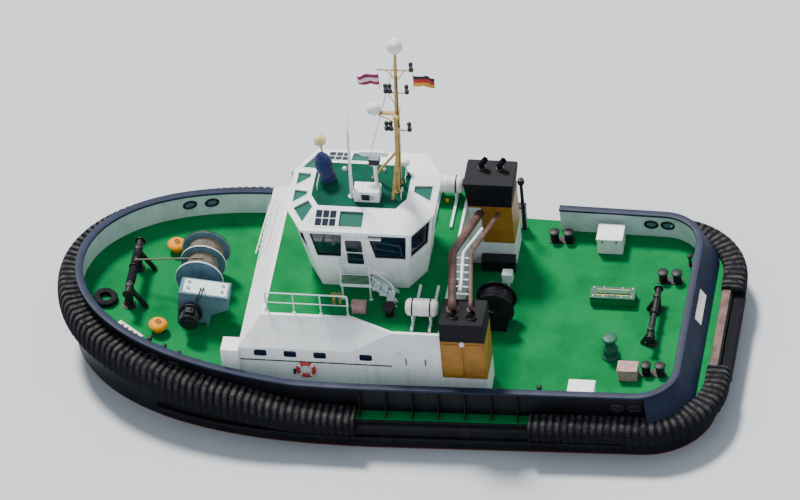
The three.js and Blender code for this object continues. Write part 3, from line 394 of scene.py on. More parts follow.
STEEL = weathered("galvanised_steel", "rail_pale", "#a6adb0", "#7d8487", 0.45, 0.1, 0.02, 0.001, metallic=0.8)


def rib_crest_paling(tree):
    """A paler grey on the ribs' crests, by the UV map's X in ribs, more of it higher up, by its Y, and in patches."""
    at = add(tree, "SeparateXYZ", inputs={0: add(tree, "TexCoord").outputs["UV"]})
    part = add(tree, "Math", {"operation": "FRACT"}, {0: at.outputs[0]})
    away = add(tree, "Math", {"operation": "SUBTRACT"}, {0: part.outputs[0], 1: 0.5})
    away = add(tree, "Math", {"operation": "ABSOLUTE"}, {0: away.outputs[0]})
    top = add(tree, "MapRange", inputs={"Value": away.outputs[0], "From Min": 0.16, "From Max": 0.34})
    tall = add(tree, "MapRange", inputs={"Value": at.outputs[1], "From Min": -0.05, "From Max": 0.34})
    high_rib = add(tree, "Math", {"operation": "MULTIPLY"}, {0: top.outputs[0], 1: tall.outputs[0]})
    where = add(tree, "TexCoord").outputs["Object"]
    noise = add(tree, "TexNoise", inputs={"Vector": where, "Scale": 5.0, "Detail": 6.0})
    patchy = add(tree, "MapRange", inputs={"Value": noise.outputs["Fac"], "From Min": 0.36, "From Max": 0.62,
                                           "To Min": 0.12, "To Max": 0.8})
    return add(tree, "Math", {"operation": "MULTIPLY"}, {0: high_rib.outputs[0], 1: patchy.outputs[0]}).outputs[0]


RIBBED = weathered("ribbed_fender_rubber_pale_crests", "fender_rubber", "#101116", "#1d1e24", 0.9, 0.12, 0.03, 0.006,
                   shine=0.12)
over_colour(RIBBED, rib_crest_paling, "#5f5d5a")

# Toughened marine glass, tinted: it hides the cabin and mirrors the sky.
GLASS, _, dark, _ = new_material("tinted_toughened_glass", "window_glass", "#0e1a2c", 0.06)
SKYLIGHT, _, green, _ = new_material("green_tinted_skylight_glass", "window_glass", "#14604f", 0.12)
for glazing, coat in ((dark, 0.6), (green, 0.5)):
    glazing.inputs["IOR"].default_value = 1.52
    glazing.inputs["Coat Weight"].default_value = coat
print(len(bpy.data.materials), "materials")

# %% [markdown]
# ## The hull
#
# A tug's hull is plate bent over frames, full at the bow so that it can push. Every level of it is a plan curve:
# a superellipse from the stem to the widest place, a straight taper, and a round corner at the transom. Eight
# levels are enough, with a smooth curve through them from deck to keel.

# %% Plan curves
DECK_TOP, DECK_PLATE, SLOPE, KNUCKLE = 1.33, 0.03, 0.115, 3.0
MID, TAPER_END = 0.5, -8.5
LEVELS = [
    # z, bow, stern, half-beam amidships, half-beam aft, corner radius, bow fullness
    (3.2, 11.65, -11.55, 5.35, 5.1, 2.5, 2.65), (0.2, 11.6, -11.55, 5.35, 5.1, 2.5, 2.6),
    (-0.5, 11.2, -11.4, 5.32, 4.98, 2.3, 2.45), (-1.0, 10.8, -11.2, 5.2, 4.85, 2.2, 2.35),
    (-1.7, 10.2, -6.4, 5.0, 4.5, 1.8, 2.2), (-2.5, 9.3, -4.6, 4.4, 4.0, 1.5, 2.1),
    (-3.2, 7.8, -3.0, 3.3, 3.0, 1.2, 2.0), (-3.45, 6.5, -2.0, 2.3, 2.1, 0.9, 2.0),
]
EDGE = LEVELS[0]
RAIL = (0.0, 11.3, -10.35, 4.88, 4.68, 1.5, 2.95)


def deck_top(x):
    """The deck's height: level aft of the knuckle, then rising forward."""
    return DECK_TOP + SLOPE * np.maximum(0, np.asarray(x, float) - KNUCKLE)


def plan_curve(row, inset=0.0, bow_steps=64, corner_steps=14):
    """The port half of a level: x = mid + reach sin(t)^(2/full), y = beam cos(t), then taper, corner and transom."""
    _, bow, stern, beam, aft, corner, full = row
    bow, stern, beam, corner = bow - inset, stern + inset, beam - inset, corner - inset
    taper = (beam + inset - aft) / (MID - TAPER_END)
    t = PI / 2 * (1 - np.arange(bow_steps) / bow_steps)
    nose = np.stack([MID + (bow - MID) * np.sin(t) ** (2 / full), beam * np.cos(t)], -1)
    start = stern + corner
    x = MID + (start - MID) * np.arange(8) / 8
    side = np.stack([x, beam - taper * (MID - x)], -1)
    a = PI / 2 * np.arange(corner_steps + 1) / corner_steps
    edge = beam - taper * (MID - start)
    round_off = np.stack([start - corner * np.sin(a), edge - corner * (1 - np.cos(a))], -1)
    return np.concatenate([nose, side, round_off, [[stern, 0.0]]])


def half_beam(curve, x):
    """How far out a half curve lies at a place along X, on straight lines between its points."""
    return np.interp(x, curve[::-1, 0], curve[::-1, 1])


def cut(curve, x_from, x_to):
    """The stretch of a half curve between two places along X, with exact ends."""
    ends = half_beam(curve, [x_to, x_from])
    inside = curve[(curve[:, 0] < x_from) & (curve[:, 0] > x_to)]
    return np.concatenate([[[x_from, ends[1]]], inside, [[x_to, ends[0]]]])


STARBOARD = np.array([1.0, -1.0])


def even(path, step):
    """The path again in even steps of arc length."""
    run = np.concatenate([[0], np.cumsum(np.linalg.norm(np.diff(path, axis=0), axis=1))])
    s = np.linspace(0, run[-1], int(run[-1] / step) + 1)
    return np.stack([np.interp(s, run, path[:, k]) for k in range(path.shape[1])], -1), s


def swept(path, section, base=deck_top):
    """A section, or one for each point, of [outboard, up] pairs carried along a path with outboard on its left."""
    ahead = normed(np.gradient(path, axis=0))
    left = np.stack([-ahead[:, 1], ahead[:, 0]], -1)
    section = np.broadcast_to(section, (len(path), *np.shape(section)[-2:]))
    flat = path[:, None] + left[:, None] * section[..., :1]
    return skin(np.concatenate([flat, (base(flat[..., 0]) + section[..., 1])[..., None]], -1))


def eased_loop(points, radius, steps=4):
    """A closed outline with every corner rounded as in eased()."""
    points = np.asarray(points, float)
    return eased(np.concatenate([points[-1:], points, points[:1]]), radius, steps)[1:-1]


print("deck edge of", len(plan_curve(EDGE)), "points a side,", EDGE[1] - EDGE[2], "m long")

# %% [markdown]
# The plating is one skin through all levels. Hermite curves between the levels keep it smooth, and the top
# ring follows the deck's rise and closes on the centreline. Black topside enamel ends at the boot top, where
# antifouling begins.

# %% Hull plating, strakes, skeg and thruster seats


def around(row):
    """A level's whole outline, port and starboard, as points in space."""
    half = plan_curve(row)
    loop = np.concatenate([half, (half * STARBOARD)[-2:0:-1]])
    return put(loop, 2, row[0])


def hull_rings(steps=5):
    """Hermite curves through the levels: each point's path in depth, with slopes from its neighbours."""
    rings = np.stack([around(row) for row in LEVELS])
    z = -np.array([row[0] for row in LEVELS])
    high = deck_top(rings[1][:, 0]) - DECK_PLATE - HAIR
    part = (high - LEVELS[1][0]) / (LEVELS[0][0] - LEVELS[1][0])
    top = rings[1] + (rings[0] - rings[1]) * part[:, None]
    slope = np.gradient(rings, z, axis=0)
    t = (np.arange(steps) / steps)[None, :, None, None]
    gap = np.diff(z)[1:, None, None, None]
    a, b, ma, mb = (v[:, None] for v in (rings[1:-1], rings[2:], slope[1:-1], slope[2:]))
    curve = ((2 * t ** 3 - 3 * t ** 2 + 1) * a + (t ** 3 - 2 * t ** 2 + t) * gap * ma
             + (-2 * t ** 3 + 3 * t ** 2) * b + (t ** 3 - t ** 2) * gap * mb)
    return np.concatenate([top[None] * [1, 0, 1], top[None], curve.reshape(-1, *rings.shape[1:]), rings[-1:]])


def below_boot_top(tree):
    """One below the boot top, by height in Object coordinates, and zero above."""
    split = add(tree, "SeparateXYZ", inputs={0: add(tree, "TexCoord").outputs["Object"]})
    return add(tree, "Math", {"operation": "LESS_THAN"}, {0: split.outputs[2], 1: BOOT_TOP}).outputs[0]


BOOT_TOP = 0.06
over_colour(BLACK_HULL, below_boot_top, "#5b2a24")
hull = build("hull_plating", skin(hull_rings()[::-1]), BLACK_HULL, replaces=["hull"], angle=50)
strake = eased_loop([[-0.06, -0.11], [0.12, -0.07], [0.12, 0.07], [-0.06, 0.11]], 0.03)
strakes = [swept(cut(plan_curve(EDGE), ahead, behind)[::-1], strake, lambda x, z=z: z + 0 * x)
           for z, ahead, behind in [(1.08, 0.74, -5.24), (0.49, 8.0, -8.5)]]
build("rubbing_strakes", both(together(*strakes)), BLACK_HULL)
skeg = prism([[-1.5, -3.45], [-7.0, -3.6], [-7.3, -3.4], [-7.3, -1.2], [-1.5, -1.2]], 1, (0.2, -0.2))
seat = moved(puck(0.6, -1.56, -0.9, 40), [-8.5, 2.3, 0])
build("skeg_and_seats", together(skeg, both(seat)), BLACK_HULL, bevel=0.02)
print("hull:", len(hull.data.polygons), "faces")

# %% [markdown]
# ## Deck, bulwark and cap rail
#
# The deck plate is a strip of rings across the boat. The bulwark stands on it as a swept wall, black outside
# and pale inside, and a navy rail caps it. Outside, knees hold the wall up where no fender hides them.

# %% Deck, bulwark and cap rail
BULWARK_H = 1.0
GATE = (-3.9, -5.1)
stations = np.concatenate([np.linspace(-11.51, -9.0, 20), np.linspace(-8.5, 2.5, 12), [3.0],
                           np.linspace(3.5, 11.0, 30), 11.61 - 0.6 * np.linspace(1, 0, 24)[1:] ** 2])
half = half_beam(plan_curve(EDGE, 0.04), stations)
half[0], half[-1] = 2.63, 0.02
high = deck_top(stations)
strip = np.stack([np.stack([stations, s * half, high - d], -1)
                  for s, d in ((1, 0), (1, DECK_PLATE), (-1, DECK_PLATE), (-1, 0))], 1)
build("deck_plating", skin(strip), DECK, replaces=["main_deck", "fore_deck"], angle=20)

curve = plan_curve(RAIL)
rail = np.concatenate([cut(curve, GATE[1], RAIL[2]) * STARBOARD, curve[-2::-1],
                       cut(curve[1:], RAIL[1] - 0.001, GATE[0])[1:] * STARBOARD])
outside = [[-0.04, 0.0], [0.0, 0.0], [0.0, BULWARK_H], [-0.04, BULWARK_H]]
inside = [[-0.08, 0.0], [-0.0402, 0.0], [-0.0402, BULWARK_H], [-0.08, BULWARK_H]]
build("bulwark_outside", swept(rail, outside), BLACK_HULL, replaces=["bulwark"], angle=30)
build("bulwark_inside", swept(rail, inside), INSIDE, angle=30)
quarter = cut(curve, -9.3, RAIL[2])
stern = np.concatenate([quarter * STARBOARD, quarter[-2::-1]])
skirt = [[0.002, 0.0], [0.56, 0.0], [0.56, 0.06], [0.0, BULWARK_H - 0.06]]
build("stern_skirt", swept(stern, skirt), NAVY, angle=30)
cap = eased_loop([[-0.2, BULWARK_H], [0.08, BULWARK_H], [0.08, BULWARK_H + 0.09], [-0.2, BULWARK_H + 0.09]], 0.03)
build("cap_rail_plate", swept(rail, cap), NAVY, replaces=["cap_rail"], angle=40)

KNEE = np.array([[0, 0], [0.4, 0], [0.4, 0.09], [0.12, 0.85], [0, 0.9]])
knees = []
for x in np.arange(-4.9, 0.7, 0.92):
    knees.append(prism(KNEE + [half_beam(curve, x), DECK_TOP], 0, (x + 0.012, x - 0.012)))
clear_of_gate = [flipped(knee) for knee in knees if knee[0][:, 0].mean() > GATE[0] + 0.1]
build("bulwark_knees", together(*knees, *clear_of_gate), BLACK_HULL)
print("bulwark", len(rail), "stations,", len(knees), "knees to port")

# %% [markdown]
# ## Fenders
#
# A tug pushes with heavy rubber: extruded blocks bolted round the bow, ribbed so that they grip. The ribs are
# grooves every 25 cm. The section shrinks a little at each groove, by a narrow bell curve of arc length.

# %% Ribbed bow fender, stern fenders and the stern bar
RIB_PITCH, RIB_WIDTH, RIB_DEPTH = 0.25, 0.09, 0.11
FENDER_STEP, BAR_Z = 0.042, 0.99
BOW_RISE, RISE_START, RISE_LENGTH = 0.36, 1.0, 5.0   # the bow fender's top climbs this much over this stretch


def ribs(s):
    """How far the section shrinks along the path: one minus a bell at every groove."""
    phase = (s / RIB_PITCH) % 1 - 0.5
    return 1 - RIB_DEPTH * np.exp(-(phase / RIB_WIDTH) ** 2)


def fitted(section, path):
    """The section at each point, its inner side held to the bulwark: out = max(out, -distance to the wall)."""
    wall, _ = even(np.concatenate([plan_curve(RAIL), plan_curve(RAIL)[-2::-1] * STARBOARD]), 0.05)
    reach = np.linalg.norm(path[:, None] - wall[None], axis=2).min(axis=1) + 0.03
    sections = np.tile(section, (len(path), 1, 1))
    sections[..., 0] = np.maximum(sections[..., 0], -reach[:, None])
    return sections


def rib_map(obj, s, section):
    """A UV map for a swept piece: X counts the ribs along the path, and Y is the height in the section, in metres."""
    at = np.zeros(len(obj.data.loops), dtype=int)
    obj.data.loops.foreach_get("vertex_index", at)
    count = len(section)
    uv = np.stack([s[at // count % len(s)] / RIB_PITCH, section[at % count, 1]], -1)
    obj.data.uv_layers.new(name="ribs").data.foreach_set("uv", uv.reshape(-1))


def ribbed_fender(name, path, section, rise=0.0, mirror=False):
    """A ribbed section swept along a path, its top lifted by rise t^2 (3 - 2 t), with t the part of the climb."""
    path, s = even(path, FENDER_STEP)
    part = np.clip((path[:, 0] - RISE_START) / RISE_LENGTH, 0, 1)
    lift = rise * part ** 2 * (3 - 2 * part)
    sections = fitted(section, path)
    sections[..., 1] += lift[:, None] * np.clip((section[:, 1] + 0.1) / 0.36, 0, 1)
    shape = swept(path, sections * ribs(s)[:, None, None])
    rib_map(build(name + "_rubber", both(shape) if mirror else shape, RIBBED, replaces=[name], angle=60), s, section)
    return s


deck_edge = plan_curve(EDGE)
nose = cut(deck_edge, EDGE[1] - 0.001, 0.8)
bow_path = np.concatenate([nose[:0:-1], [[EDGE[1], 0.0]], nose[1:] * STARBOARD])
bow_section = eased_loop([[-0.46, -0.1], [-0.46, 0.2], [-0.38, 0.26], [0.26, 0.26], [0.4, 0.13], [0.455, -0.08],
                          [0.42, -0.42], [0.29, -0.56], [-0.1, -0.56]], 0.09)
aft_path = np.concatenate([[[EDGE[2], 2.0]], cut(deck_edge, -5.3, EDGE[2])[-2::-1]])
aft_section = eased_loop([[-0.4, -0.1], [-0.4, 0.17], [-0.32, 0.23], [0.25, 0.23], [0.4, 0.11], [0.45, -0.08],
                          [0.42, -0.42], [0.28, -0.54], [-0.1, -0.54]], 0.09)
bow_run = ribbed_fender("bow_fender", bow_path, bow_section, rise=BOW_RISE)
ribbed_fender("stern_fender", aft_path, aft_section, mirror=True)
bar = eased_loop([[0.0, -0.19], [0.44, -0.19], [0.44, 0.19], [0.0, 0.19]], 0.08)
build("stern_bar_rubber", prism(bar * [-1, 1] + [EDGE[2], BAR_Z], 1, np.linspace(-2.04, 2.04, 18)), FENDER)
build("stern_beam", slabs([[-11.5, -11.2, -1.95, 1.95, 1.331, 1.43]]), BROWN, bevel=0.02)
print("ribs on the bow fender:", int(bow_run[-1] / RIB_PITCH))

# %% [markdown]
# ## Solids that stay
#
# Flat plating needs no new surface. The frame's own solids keep their shape and get their enamel, and a small
# bevel rounds their edges, because no welded and painted edge is sharp.

# %% Paint and edges of the solids that stay
KEPT = {
    # node: material, bevel in metres
    "deckhouse": (WHITE, 0.03), "boat_deck": (DECK, 0.0), "deckhouse_door": (WHITE, 0.008),
    "port_funnel": (OCHRE, 0.004), "starboard_funnel": (OCHRE, 0.004),
    "wheelhouse": (WHITE, 0.012), "wheelhouse_glass": (GLASS, 0.0), "wheelhouse_roof": (WHITE, 0.015),
    "skylight_glass": (SKYLIGHT, 0.0), "port_door": (WHITE, 0.008), "starboard_door": (WHITE, 0.008),
    "radar_pedestal": (WHITE, 0.015), "roof_locker": (WHITE, 0.02), "port_locker": (WHITE, 0.03),
    "starboard_locker": (WHITE, 0.03), "winch_gearbox": (WINCH, 0.03), "winch_frame": (WINCH, 0.015),
    "hatch_coaming": (DECK, 0.01), "hatch_lid": (CAPSTAN, 0.015), "vent_box": (PINK, 0.02),
    "reel_stand": (CASTING, 0.012),
}
for node, (paint, bevel) in KEPT.items():
    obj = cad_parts[node]
    obj.data.materials.clear()
    obj.data.materials.append(paint)
    soften(obj, bevel)

print(len(KEPT), "solids painted")

# %% [markdown]
# ## Windows and panels of the deckhouse
#
# A ship's window is a toughened pane in a rubber gasket and a flat steel frame. The frame here is a rounded
# ring on the wall, worked out from the wall's own plane: a point on it is c + u a + v b.

# %% Window helper and the deckhouse's windows


def pane(centre, a, b, width, height, proud=0.006, edge=0.035, corner=0.07):
    """Glass, gasket and frame of a window on a wall: a and b are the wall's unit vectors across and up."""
    centre, a, b = (np.asarray(v, float) for v in (centre, a, b))
    out = np.cross(a, b)

    def ring(grow, depth):
        w, h = width / 2 + grow, height / 2 + grow
        flat = eased_loop([[-w, -h], [w, -h], [w, h], [-w, h]], corner + grow, 6)
        return centre + flat[:, :1] * a + flat[:, 1:] * b + out * depth
    glass = skin([ring(0, -0.004), ring(0, proud)])
    gasket = skin([ring(0, 0), ring(0, proud + 0.008), ring(0.014, proud + 0.008), ring(0.014, 0)])
    frame_ring = skin([ring(0.012, 0), ring(0.012, proud + 0.004), ring(edge, proud), ring(edge, 0)])
    return glass, gasket, frame_ring


HOUSE_HALF, WALL_FORE, WALL_AFT, UP = 4.1, 4.96, -2.2, [0, 0, 1]
rows = [((x, sign * HOUSE_HALF, 3.12), [-sign, 0, 0], UP, 0.42, 0.26) for sign in (1, -1)
        for x in (4.18, 3.13, 2.08, 0.46)]
rows += [((WALL_FORE, y, 2.65), [0, 1, 0], UP, 0.5, 0.36) for y in (-2.6, -0.9, 0.9, 2.6)]
rows += [((WALL_AFT, y, 3.2), [0, -1, 0], UP, 0.4, 0.4) for y in (0.4, 1.8)]
parts = [pane(*row) for row in rows]
for index, (kind, paint) in enumerate((("panes", GLASS), ("gaskets", GASKET), ("frames", WHITE))):
    build("deckhouse_" + kind, together(*[p[index] for p in parts]), paint)
print("deckhouse windows:", len(rows))

# %% The deckhouse's handrails, panels and lamps
build("deckhouse_handrail", both(tube([[4.9, 4.115, 2.78], [-0.45, 4.115, 2.78]], 0.02, 10)), CASTING)
pads = [[x - 0.02, x + 0.02, 4.1, 4.12, 2.74, 2.82] for x in np.linspace(4.7, -0.3, 8)]
build("handrail_feet", both(slabs(pads)), WHITE)
panel = [[-1.75, -0.85, 4.1, 4.112, 2.62, 3.5], [-1.68, -0.92, 4.112, 4.126, 2.69, 3.43]]
build("side_hatch_panel", both(slabs(panel)), WHITE, bevel=0.01)
handles = [[x, x + 0.04, 4.126, 4.15, 2.9, 3.2] for x in (-1.66, -0.98)]
build("side_hatch_handles", both(slabs(handles)), CASTING, bevel=0.008)

lamp = revolve([[0, 0], [0.08, 0], [0.1, 0.05], [0.07, 0.11], [0, 0.13]], 20)
lamps = [moved(laid(lamp, "Y"), [x, 4.1, z]) for x, z in ((-2.98, 4.03), (-0.7, 3.35))]
build("deck_lamps", both(together(*lamps)), AERIAL)
print("deck lamps:", 2 * len(lamps))

# %% [markdown]
# ## Machinery on the foredeck
#
# The towing winch is a welded frame, a drum in two parts with steel flanges, a gearbox and a motor. Turned parts
# come from a profile about an axis. The rope on the drum is one surface too: its radius swells once a turn, and
# the swelling climbs along the drum as it goes round, so that the turns run as a real screw.

# %% The leaning deck, discs, wound rope and finned housings
LEAN = math.atan(SLOPE)


def on_foredeck(shape, x, y=0.0, z=HAIR):
    """Moves a shape to a place on the rising deck: X = k + x' cos - z' sin, Z = d + x' sin + z' cos."""
    p = shape[0] + [(x - KNUCKLE) / math.cos(LEAN), y, z]
    leant = np.stack([p[:, 0] * math.cos(LEAN) - p[:, 2] * math.sin(LEAN), p[:, 1],
                      p[:, 0] * math.sin(LEAN) + p[:, 2] * math.cos(LEAN)], -1)
    return leant + [KNUCKLE, 0, DECK_TOP], shape[1]


def disc(y, width, radius, edge=0.012, sides=64):
    """A wheel across the boat with eased edges, from y to y + width."""
    profile = [[0, 0], [radius - edge, 0], [radius, edge], [radius, width - edge], [radius - edge, width], [0, width]]
    return moved(laid(revolve(profile, sides), "Y"), [0, y, 0])


def wound(radius, low, high, rope, sides=72, per_turn=6):
    """Rope wound on a drum: r = radius + sqrt(1 - (2 f - 1)^2) rope / 2, with f the part of z / rope - a / turn."""
    z = np.linspace(low, high, int((high - low) / rope * per_turn) + 1)
    a = circle(sides)
    f = (z[:, None] / rope - a[None] / (2 * PI)) % 1
    rings = polar(radius + np.sqrt(1 - (2 * f - 1) ** 2) * rope / 2, a, z[:, None])
    ends = rings[[0, -1]] * [0.01, 0.01, 1]
    return skin(np.concatenate([ends[:1], rings, ends[1:]]))


def finned(radius, depth, count, low, high):
    """A housing with fins along it: r = radius - depth (1 - tanh(4 cos(n a))) / 2."""
    a = circle(count * 8)
    r = radius - depth * (1 - np.tanh(4 * np.cos(count * a))) / 2
    return skin([polar(r * wide, a, z) for wide, z in ((0.05, low), (1, low), (1, high), (0.05, high))])


def bolts(radius, count, size, height=0.0, axis="Z"):
    """Hexagon heads on a circle: head i sits at angle 2 pi i / n."""
    head = revolve([[0, 0], [size, 0], [size, size * 0.8], [size * 0.8, size], [0, size]], 6)
    return laid(copies(head, polar(radius, circle(count), height)), axis)


print("the foredeck leans", round(math.degrees(LEAN), 1), "degrees")

# %% The towing winch
WINCH_X, WINCH_AXIS, MOTOR = 7.1, 0.98, [0.06, 0, 0.76]
FLANGE, DRUM = 0.85, (-1.35, 0.25)
FLANGES = [(DRUM[0], 0.05, FLANGE), (DRUM[1] - 0.05, 0.05, FLANGE), (-0.65, 0.04, FLANGE - 0.04)]   # y, width, radius


def on_winch(name, shape, paint, at=(0, 0, 0), **more):
    """Builds a piece at a place measured from the foot of the winch, on the leaning deck."""
    build(name, on_foredeck(moved(shape, at), WINCH_X), paint, **more)


axle = [0, 0, WINCH_AXIS]
plates = together(*[disc(*row) for row in FLANGES], disc(DRUM[0] - 0.0595, 1.719, 0.26),
                  bolts(0.45, 16, 0.026, DRUM[1], "Y"))
on_winch("winch_drum_plates", plates, WINCH, axle, body="winch_drum", replaces=["winch_drum"], angle=40)
turns = [laid(wound(r - 0.03, y0, y1, 0.06), "Y") for r, y0, y1 in ((0.62, -1.3, -0.65), (0.56, -0.61, 0.2))]
on_winch("winch_rope", together(*turns), ROPE, axle, body="winch_drum", angle=60)

ends = together(disc(1.5003, 0.28, 0.33, 0.03), disc(1.7, 0.06, 0.42), disc(2.2, 0.05, 0.33, 0.03),
                disc(2.25, 0.06, 0.22, 0.03), bolts(0.375, 12, 0.022, 1.76, "Y"))
motor = together(laid(finned(0.33, 0.035, 24, 1.78, 2.2), "Y"), ends, slabs([[-0.12, 0.16, 1.85, 2.1, 0.3, 0.4]]))
on_winch("winch_motor_housing", motor, CASTING, MOTOR, replaces=["winch_motor"], angle=30)
rim_bolts = copies(puck(0.02, 0, 0.02, 6), [[x, y, 1.478] for x in np.linspace(-1.07, 0.37, 7) for y in (0.8, 1.4)])
on_winch("gearbox_lid", together(slabs([[-1.12, 0.42, 0.76, 1.44, 1.4605, 1.478]]), rim_bolts), PALE, bevel=0.004)
eye = laid(hoop(0.03, 0.055, -0.012, 0.012, 20), "Y")
on_winch("gearbox_lifting_eyes", copies(eye, [[x, y, 1.52] for x in (-0.95, 0.25) for y in (0.95, 1.25)]), WINCH)
oil = [[[-0.2, 1.2, 1.47], [-0.2, 1.3, 1.62], [-0.2, 1.62, 1.6], [0.02, 1.9, 1.12]],
       [[-0.3, 1.2, 1.47], [-0.3, 1.34, 1.68], [-0.3, 1.7, 1.66], [0.1, 2.05, 1.1]]]
on_winch("winch_oil_pipes", together(*[tube(eased(run, 0.15), 0.025) for run in oil]), CASTING)
# Pale rings all round the flange rims: a painted highlight, standing for the glossy treads that catch the light on
# top.
rims = together(*[laid(hoop(r - 0.012, r + 0.003, y, y + w, 96), "Y") for y, w, r in FLANGES])
on_winch("winch_flange_rim_painted_highlights", rims, PALE, axle, body="winch_drum", angle=40)
a = np.linspace(-0.6, 3.6, 60)[:, None]
edge_r, edge_y = np.array([0.856, 0.868, 0.868, 0.856]), np.array([-1.345, -1.345, -1.305, -1.305])
band = np.stack([edge_r * np.cos(a), edge_y + 0 * a, edge_r * np.sin(a)], -1)
on_winch("winch_brake_band", outward(skin(band)), CASTING, axle, angle=30)
print("winch: rope", len(turns), "layers, motor with 24 fins")

# %% Posts, crossbars, towing staple and stern bitt


def bitt_post(radius, height, foot):
    """A mooring post: a foot flange, a straight trunk and a domed head."""
    return revolve([[0, 0], [foot, 0], [foot, 0.025], [radius + 0.03, 0.04], [radius, 0.07], [radius, height - 0.06],
                    [radius - 0.02, height - 0.02], [radius - 0.06, height], [0, height]], 40)


def crossbar(reach, radius, collars, collar, width):
    """A bar across the boat with raised collars: the profile steps out and in again at each one."""
    profile = [[0, -reach]]
    for y in collars:
        profile += [[radius, y], [collar, y + 0.008], [collar, y + width - 0.008], [radius, y + width]]
    return laid(revolve(profile + [[0, reach]], 40), "Y")


def posts_and_bar(bar, bar_z, half, post, strut, *feet):
    """A crossbar on two posts, each with a leaning strut: post is radius, height and foot."""
    parts = [moved(bar, [0, 0, bar_z])]
    x_foot, x_head, z_head, radius = strut
    for y in (half, -half):
        parts += [moved(bitt_post(*post), [0, y, 0]), tube([[x_foot, y, 0.03], [x_head, y, z_head]], radius, 24)]
        parts += [moved(foot, [0, y, 0]) for foot in feet]
    return together(*parts)


STAPLE_X, BITT_X = 9.45, -9.05
staple = posts_and_bar(crossbar(1.39, 0.13, (-1.39, -0.06, 1.339), 0.185, 0.05), 0.9, 0.95, (0.15, 1.05, 0.26),
                       (-0.62, -0.04, 0.78, 0.09), bolts(0.215, 8, 0.018, 0.025))
sleeves = moved(together(*[laid(revolve([[0.12, y0], [0.158, y0 + 0.02], [0.158, y1 - 0.02], [0.12, y1]], 40), "Y")
                           for y0, y1 in ((-0.76, -0.1), (0.03, 0.76))]), [0, 0, 0.9])
build("tow_staple_posts", on_foredeck(staple, STAPLE_X), BITT, replaces=["tow_staple"], angle=40)
build("staple_chafing_sleeves", on_foredeck(sleeves, STAPLE_X), FENDER)
aft = posts_and_bar(crossbar(1.311, 0.11, (-1.31, -0.03, 1.27), 0.165, 0.04), 0.6, 0.85, (0.13, 0.76, 0.22),
                    (0.35, 0.03, 0.54, 0.075))
build("stern_bitt_posts", moved(aft, [BITT_X, 0, DECK_TOP + HAIR]), BITT, replaces=["stern_bitt"], angle=40)

post = revolve([[0, 0.03], [0.15, 0.03], [0.15, 0.36], [0.165, 0.4], [0.19, 0.415], [0.19, 0.455], [0.17, 0.47],
                [0, 0.47]], 40)
pad = prism(eased_loop([[-0.45, -0.18], [0.45, -0.18], [0.45, 0.18], [-0.45, 0.18]], 0.1), 2, (0.03, 0.06))
spots = [[x, y, DECK_TOP - 0.03] for x, y in ((-9.3, 2.35), (-5.2, 4.15))]
pair = copies(post, [[-0.25, 0, 0], [0.25, 0, 0]])
build("mooring_bollards", both(copies(together(pair, pad), spots)), BITT, angle=40)
print("bollard pairs:", 2 * len(spots))

# %% Mushroom vents, tyre and hawser
wall = eased([[0, 0], [0.17, 0], [0.17, 0.22], [0.19, 0.25], [0.33, 0.25], [0.345, 0.32], [0.27, 0.41], [0.1, 0.45],
              [0, 0.455]], 0.04).tolist()
wheel = together(hoop(0.09, 0.105, 0.458, 0.47, 24),
                 slabs([[-0.1, 0.1, -0.01, 0.01, 0.458, 0.468], [-0.01, 0.01, -0.1, 0.1, 0.458, 0.468],
                        [-0.02, 0.02, -0.02, 0.02, 0.44, 0.47]]))
VENT_X, VENT_Y = 8.25, 2.05
for side, y in (("port", VENT_Y), ("starboard", -VENT_Y)):
    build(side + "_vent_cowl", on_foredeck(revolve(wall, 48), VENT_X, y), ORANGE, replaces=[side + "_vent"], angle=50)
    build(side + "_vent_wheel", on_foredeck(wheel, VENT_X, y), CASTING)

across_tread = np.array([[0.23, -0.05], [0.25, -0.085], [0.3, -0.09], [0.45, -0.088], [0.49, -0.075], [0.507, -0.04],
                         [0.507, 0.04], [0.49, 0.075], [0.45, 0.088], [0.3, 0.09], [0.25, 0.085], [0.23, 0.05],
                         [0.3, 0.03], [0.3, -0.03]])
TYRE_SCALE, TREAD_DENT, TREAD_BLOCKS = 0.86, 0.022, 40
a = circle(160)[:, None]
dent = 1 - TREAD_DENT * (np.cos(TREAD_BLOCKS * a) > 0) * (across_tread[:, 0] > 0.48)
rings = polar(across_tread[:, 0] * dent * TYRE_SCALE, a, across_tread[:, 1])
tyre = welded(skin(np.concatenate([rings, rings[:1]])[::-1], caps=False))
build("tyre_tread", on_foredeck(tyre, 10.3, 0.85, 0.0903), TYRE, replaces=["deck_tyre"], angle=50)
hawser = eased([[0.0, -0.25, 1.57], [1.2, -0.25, 1.31], [2.3, -0.25, 1.07], [2.5, -0.25, 0.98], [2.48, -0.27, 0.76],
                [2.25, -0.29, 0.78], [2.24, -0.31, 1.0], [2.4, -0.33, 1.06]], 0.12, 8)
build("towing_hawser", tube(on_foredeck((hawser, []), WINCH_X)[0], 0.03, 12), ROPE)
print("tyre", len(rings), "stations")

# %% [markdown]
# ## Gear on the after deck
#
# Hatch, capstan, lockers, rope reel and vent box are small pieces that the eye still reads from far away, because
# each has its own colour and outline. Latches, hinges and louvres tell how big they are.

